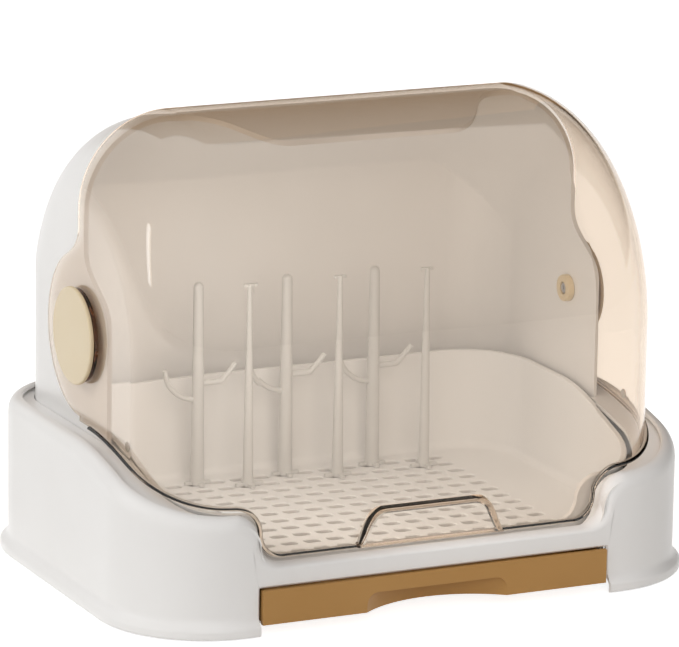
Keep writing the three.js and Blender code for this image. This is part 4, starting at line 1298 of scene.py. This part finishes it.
# %% [markdown]
# The lid itself is the front half of a hollow dome. It gets its bead, a raised pull for the fingers in the
# middle of the front, and a rear edge with two round lobes that turn on the hinges. Boolean cuts leave the
# smoothing unsure next to the new edges, and clear plastic shows that as torn refraction. So the corners of
# the walls get the directions of the exact dome.

# %% The lid
lid_front = hinge_y - lid_radius
lid_rear_edge = hinge_y + 3
lobe_radius = 50.0
lobe_start = 65.0
notch_rise = 65.5
notch_corner_rise = 53.5
pull_bottom_half_width = 53.0
pull_top_half_width = 31.0
pull_height = 25.0
pull_corner = 10.0
pull_upper_corner = 14.0
pull_proud = 6.0
pull_face = lid_front - pull_proud
pull_back = pull_face + lid_wall
pull_outside = [
    (lid_front + lid_wall / 2, -0.4), (lid_front, -0.4), (pull_face + 1.4, 0.2), (pull_face + 0.45, 0.65),
    (pull_face, 1.5),
]
pull_inside = [
    (pull_back, lid_wall + 0.8), (pull_back + 0.8, lid_wall), (lid_front + lid_wall + 6, lid_wall),
]
journal_radius = 11.0
collar_radius = 28.4
collar_out = lid_high.x - 0.1
collar_edge = 0.4
past_edge = (360.0, 400.0, 430.0, body_plan["half"])


def under_edge(away):
    """All that lies under the lid's lower edge, moved up by a distance square to it."""
    outward, inward = foot_flare + overrun, body_corner_radius * 0.8
    half = edge_path(away)
    half += [(place, half[-1][1]) for place in past_edge]

    def row(place, height, side):
        x, y, across, along = outline_place(body_plan, place)
        corners = [(outward, -overrun), (outward, height), (-inward, height), (-inward, -overrun)]
        return [(side * (x + across * offset), y + along * offset, z) for offset, z in corners]

    rows = [row(place, height, 1) for place, height in half]
    rows += [row(place, height, -1) for place, height in reversed(half[1:-1])]
    return looped("under_edge", rows)


def bead():
    """A rounded tube along the whole lower edge."""
    right = [(*lid_place(place), height) for place, height in edge_path(lid_bead_height / 2)]
    left = [(-x, y, Vector((-slope.x, slope.y, 0)), height) for x, y, slope, height in right[1:]]
    path = left[::-1] + right
    points = [Vector((x, y, height)) for x, y, slope, height in path]
    section = arc(0, 0, (lid_bead_width + lid_wall) / 2, 0, 360 - 18, 19, lid_bead_height / 2)
    rings = []
    for number, (x, y, slope, height) in enumerate(path):
        ahead = points[min(number + 1, len(points) - 1)] - points[max(number - 1, 0)]
        up = slope.cross(ahead.normalized()).normalized()
        if up.z < 0:
            up = -up
        middle = points[number] + slope * (lid_bead_width - lid_wall) / 2
        rings.append([tuple(middle + slope * out + up * high) for out, high in section])
    return stacked("bead", rings)


def pull_outline(inset):
    low, top = rim_front_height, rim_front_height + pull_height - inset
    foot, head = pull_bottom_half_width - inset, pull_top_half_width - inset
    side = bezier((foot, low), (foot - pull_corner, low), (head + pull_upper_corner, top), (head, top), 20)
    return mirrored([(foot, low - overrun), *side])


def lid_rear_cut():
    far, high, wide = hinge_y + lid_radius + overrun, hinge_z + lid_radius + overrun, lid_half_width + overrun
    lobe = arc(hinge_y, hinge_z, lobe_radius, lobe_start, -90, 48)
    first, corner = (lid_rear_edge, hinge_z + notch_rise), (lid_rear_edge, hinge_z + notch_corner_rise)
    pull, push = (tuple(a + (b - a) * 2 / 3 for a, b in zip(end, corner)) for end in (first, lobe[0]))
    outline = [
        (far, high), (lid_rear_edge, high), *bezier(first, pull, push, lobe[0], 12), *lobe[1:],
        (hinge_y, -overrun), (far, -overrun),
    ]
    return block("lid_rear_cut", outline, at_x, -wide, wide)


def set_true_normals(piece):
    """Gives the lid's walls the directions of the exact dome, so that cut edges don't bend what they show."""
    mesh = piece.data
    inset, lowered = lid_half_width - lid_fillet, lid_radius - lid_fillet
    normals = [corner.vector.copy() for corner in mesh.corner_normals]
    changed = 0
    for loop in mesh.loops:
        x, y, z = mesh.vertices[loop.vertex_index].co / MM
        up = max(z - hinge_z, 0)
        reach = math.hypot(y - hinge_y, up)
        outward = max(abs(x) - inset, 0), max(reach - lowered, 0)
        length = math.hypot(*outward)
        if length < lid_fillet - lid_wall - 0.05 or reach < 1:
            continue
        side, away = outward[0] / length * (1 if x > 0 else -1), outward[1] / length
        true = Vector((side, away * (y - hinge_y) / reach, away * up / reach))
        present = normals[loop.index]
        if abs(present.dot(true)) > 0.95:
            normals[loop.index] = true if present.dot(true) > 0 else -true
            changed += 1
    mesh.normals_split_custom_set(normals)
    print("true directions at", changed, "of", len(normals), "corners")


def make_lid():
    low = rim_front_height - overrun
    lid = dome("lid_shell", lid_radius, lid_half_width, lid_fillet, low, 0)
    join(lid, stacked("pull", [at_y(pull_outline(inset), y) for y, inset in pull_outside]))
    cut(lid, dome("lid_hollow", lid_radius, lid_half_width, lid_fillet, low - overrun, lid_wall))
    cut(lid, stacked("pull_hollow", [at_y(pull_outline(inset), y) for y, inset in pull_inside]))
    cut(lid, under_edge(lid_bead_height / 2))
    join(lid, bead())
    cut(lid, lid_rear_cut())
    collar = [
        (collar_radius, lid_half_width - 1), (collar_radius, collar_out - collar_edge),
        (collar_radius - collar_edge, collar_out),
    ]
    for side in (-1, 1):
        join(lid, turned_across("collar", collar, side))
        cut(lid, hinge_bore(journal_radius, lid_half_width, side))
    dress(lid, clear_amber, "lid", "lid")
    lid.modifiers.clear()
    set_true_normals(lid)


make_lid()

# %% [markdown]
# At each side a round cap covers the hinge. Its stem goes through lid and cover, and a small cupped bush
# holds it from inside. All of them are turned pieces, so each is one profile swept round the hinge axis.
# A small silicone dot with a domed face sits on the inside of the lid at each side.

# %% The hinge pieces
stem_bore_radius = 1.5
stem_bore_depth = 7.0
cap_thickness = 2.6
cap_edge = 1.2
bush_floor = 1.4
bush_bore = 3.9


def cap_profile(inner, outer, radius):
    face, bottom, journal = outer - cap_thickness, inner + stem_bore_depth, cover_half_width + seat_gap
    rim = arc(radius - cap_edge, outer - cap_edge, cap_edge, 0, 90, 6)
    return [
        (0.01, bottom), (stem_bore_radius, bottom), (stem_bore_radius, inner), (stem_radius - 0.5, inner),
        (stem_radius, inner + 0.5), (stem_radius, journal), (journal_radius - 0.4, journal),
        (journal_radius, journal + 0.4), (journal_radius, face), (radius - 0.5, face), (radius, face + 0.5),
        *rim, (radius * 0.5, outer - 0.02), (0.01, outer - 0.04),
    ]


def bush_profile(inner, outer, radius):
    floor = outer - bush_floor
    return [
        (stem_bore_radius, outer), (stem_bore_radius, floor), (bush_bore, floor), (bush_bore, inner + 0.5),
        (bush_bore + 0.5, inner), (radius - 1.2, inner), (radius - 0.35, inner + 0.35), (radius, inner + 1.2),
        (radius, outer),
    ]


def washer_profile(inner, outer, radius):
    bore = journal_radius + running_gap
    return [
        (bore, inner), (radius - 0.3, inner), (radius, inner + 0.25),
        (radius, outer - 0.25), (radius - 0.3, outer), (bore, outer),
    ]


def bumper_profile(inner, outer, radius):
    return [(radius, outer), (radius, inner + 0.45), (radius * 0.8, inner + 0.12), (radius * 0.45, inner)]


def make_turned(node, ending, profile_of, sign, material, body, **shape):
    """A turned piece that fills its frame piece, between that one's inner and outer face."""
    low, high = span_of(node)
    inner, outer = sorted((abs(low.x), abs(high.x)))
    profile = profile_of(inner, outer, (high.z - low.z) / 2)
    piece = turned_across(f"{node}_{ending}", profile, sign, **shape)
    dress(piece, material, body, node)
    return piece


hinge_pieces = {  # profile, finish, whether the profile is a closed ring
    "hinge_cap": (cap_profile, tan_trim, False),
    "hinge_bush": (bush_profile, tan_trim, True),
    "hinge_washer": (washer_profile, milky_silicone, True),
}
for side, sign in (("left", -1), ("right", 1)):
    for name, (profile_of, material, closed) in hinge_pieces.items():
        make_turned(f"{name}_{side}", "turned", profile_of, sign, material, "housing", closed=closed)
    name = f"lid_bumper_{side}"
    seat = {"middle": middle_of(name).yz, "sides": 48}
    dot = make_turned(name, "dot", bumper_profile, sign, milky_silicone, "lid", **seat)
    dot.visible_shadow = False

# %% [markdown]
# The pegs plug into the slots. All have a cross foot and a pin. The plain ones narrow to a short crossbar,
# and the others carry two arms, for teats and caps. The arms are tubes along smooth curves, joined to the
# rod so that each peg is one clean skin.

# %% The pegs
peg_pin_radius = 2.9
peg_pin_length = 5.0
peg_foot_half_span = 9.0
peg_foot_thickness = 2.0
peg_foot_width = 3.2
peg_corner = 1.2
branch_rod_foot, branch_rod_tip = 4.6, 3.2
straight_rod_foot, straight_rod_neck, straight_rod_tip = 3.6, 1.6, 1.3
bar_half_length, bar_half_width, bar_thickness, bar_corner = 4.2, 0.9, 1.8, 0.8
arm_radius = 1.7
arm_sides = 20
peg_arms = [  # reach sideways, height of root and tip as shares of the rod, and the way between them
    (-24.0, 0.42, 0.58, [(0, 0), (0.45, 0.12), (0.85, 0.5), (1, 1)]),
    (26.4, 0.5, 0.58, [(0, 0), (0.55, 0), (0.7, 0.2), (1, 1)]),
]


def smooth_path(points, steps):
    """A smooth curve through the given points, as a Catmull-Rom spline."""
    first = tuple(2 * a - b for a, b in zip(points[0], points[1]))
    last = tuple(2 * a - b for a, b in zip(points[-1], points[-2]))
    held = [first, *points, last]
    path = []
    for number in range(len(points) - 1):
        for step in range(steps):
            t = step / steps
            square, cube = t * t, t ** 3
            shares = (
                2 * square - t - cube, 2 - 5 * square + 3 * cube,
                t + 4 * square - 3 * cube, cube - square,
            )
            path.append(tuple(
                0.5 * sum(share * value for share, value in zip(shares, four))
                for four in zip(*held[number:number + 4])
            ))
    path.append(points[-1])
    return path


def peg_foot(x, y, floor):
    """The cross foot and the pin, with softly broken edges."""
    half, span, top = peg_foot_width / 2, peg_foot_half_span, floor + peg_foot_thickness
    long = rounded(x - span, x + span, y - half, y + half, peg_corner, 5)
    wide = rounded(x - half, x + half, y - span, y + span, peg_corner, 5)
    foot = join(block("foot", long, at_z, floor, top), block("foot_across", wide, at_z, floor, top))
    pin = [
        (peg_pin_radius * 0.5, floor - peg_pin_length), (peg_pin_radius * 0.7, floor - peg_pin_length + 0.4),
        (peg_pin_radius, floor - peg_pin_length / 2), (peg_pin_radius, top),
    ]
    return join(foot, turned("pin", pin, x, y, 40))


def peg_arm(x, y, floor, height, reach, root_share, tip_share, shares):
    """A tube from the rod outward and up."""
    root, tip = floor + height * root_share, floor + height * tip_share
    path = smooth_path([(x + reach * out, root + (tip - root) * up) for out, up in shares], 9)
    sideways, section = Vector((0, 1, 0)), circle(0, 0, arm_radius, arm_sides)
    rings = []
    for number, (across, up) in enumerate(path):
        before, after = path[max(number - 1, 0)], path[min(number + 1, len(path) - 1)]
        over = sideways.cross(Vector((after[0] - before[0], 0, after[1] - before[1])).normalized())
        middle = Vector((across, y, up))
        rings.append([tuple(middle + sideways * a + over * b) for a, b in section])
    return stacked("arm", rings)


def make_peg(name, branched):
    low, high = span_of(name)
    x = high.x - peg_arms[1][0] if branched else low.x + peg_foot_half_span
    y = (low.y + high.y) / 2
    floor, top = low.z + peg_pin_length, high.z
    peg = peg_foot(x, y, floor)
    if branched:
        tip = arc(0, top - branch_rod_tip, branch_rod_tip, 0, 90, 8)[:-1]
        join(peg, turned("rod", [(branch_rod_foot, floor), *tip, (0.05, top)], x, y, 48))
        for arm in peg_arms:
            join(peg, peg_arm(x, y, floor, top - floor, *arm))
    else:
        rod = [(straight_rod_foot, floor), (straight_rod_neck, top - 0.3), (straight_rod_tip, top)]
        join(peg, turned("rod", rod, x, y, 40))
        long, wide = bar_half_length, bar_half_width
        bar = rounded(x - long, x + long, y - wide, y + wide, bar_corner, 5)
        join(peg, block("bar", bar, at_z, top - bar_thickness, top))
    peg.name = f"{name}_moulded"
    dress(peg, peg_plastic, name, name)


for number in (1, 2, 3):
    make_peg(f"branch_peg_{number}", True)
    make_peg(f"straight_peg_{number}", False)
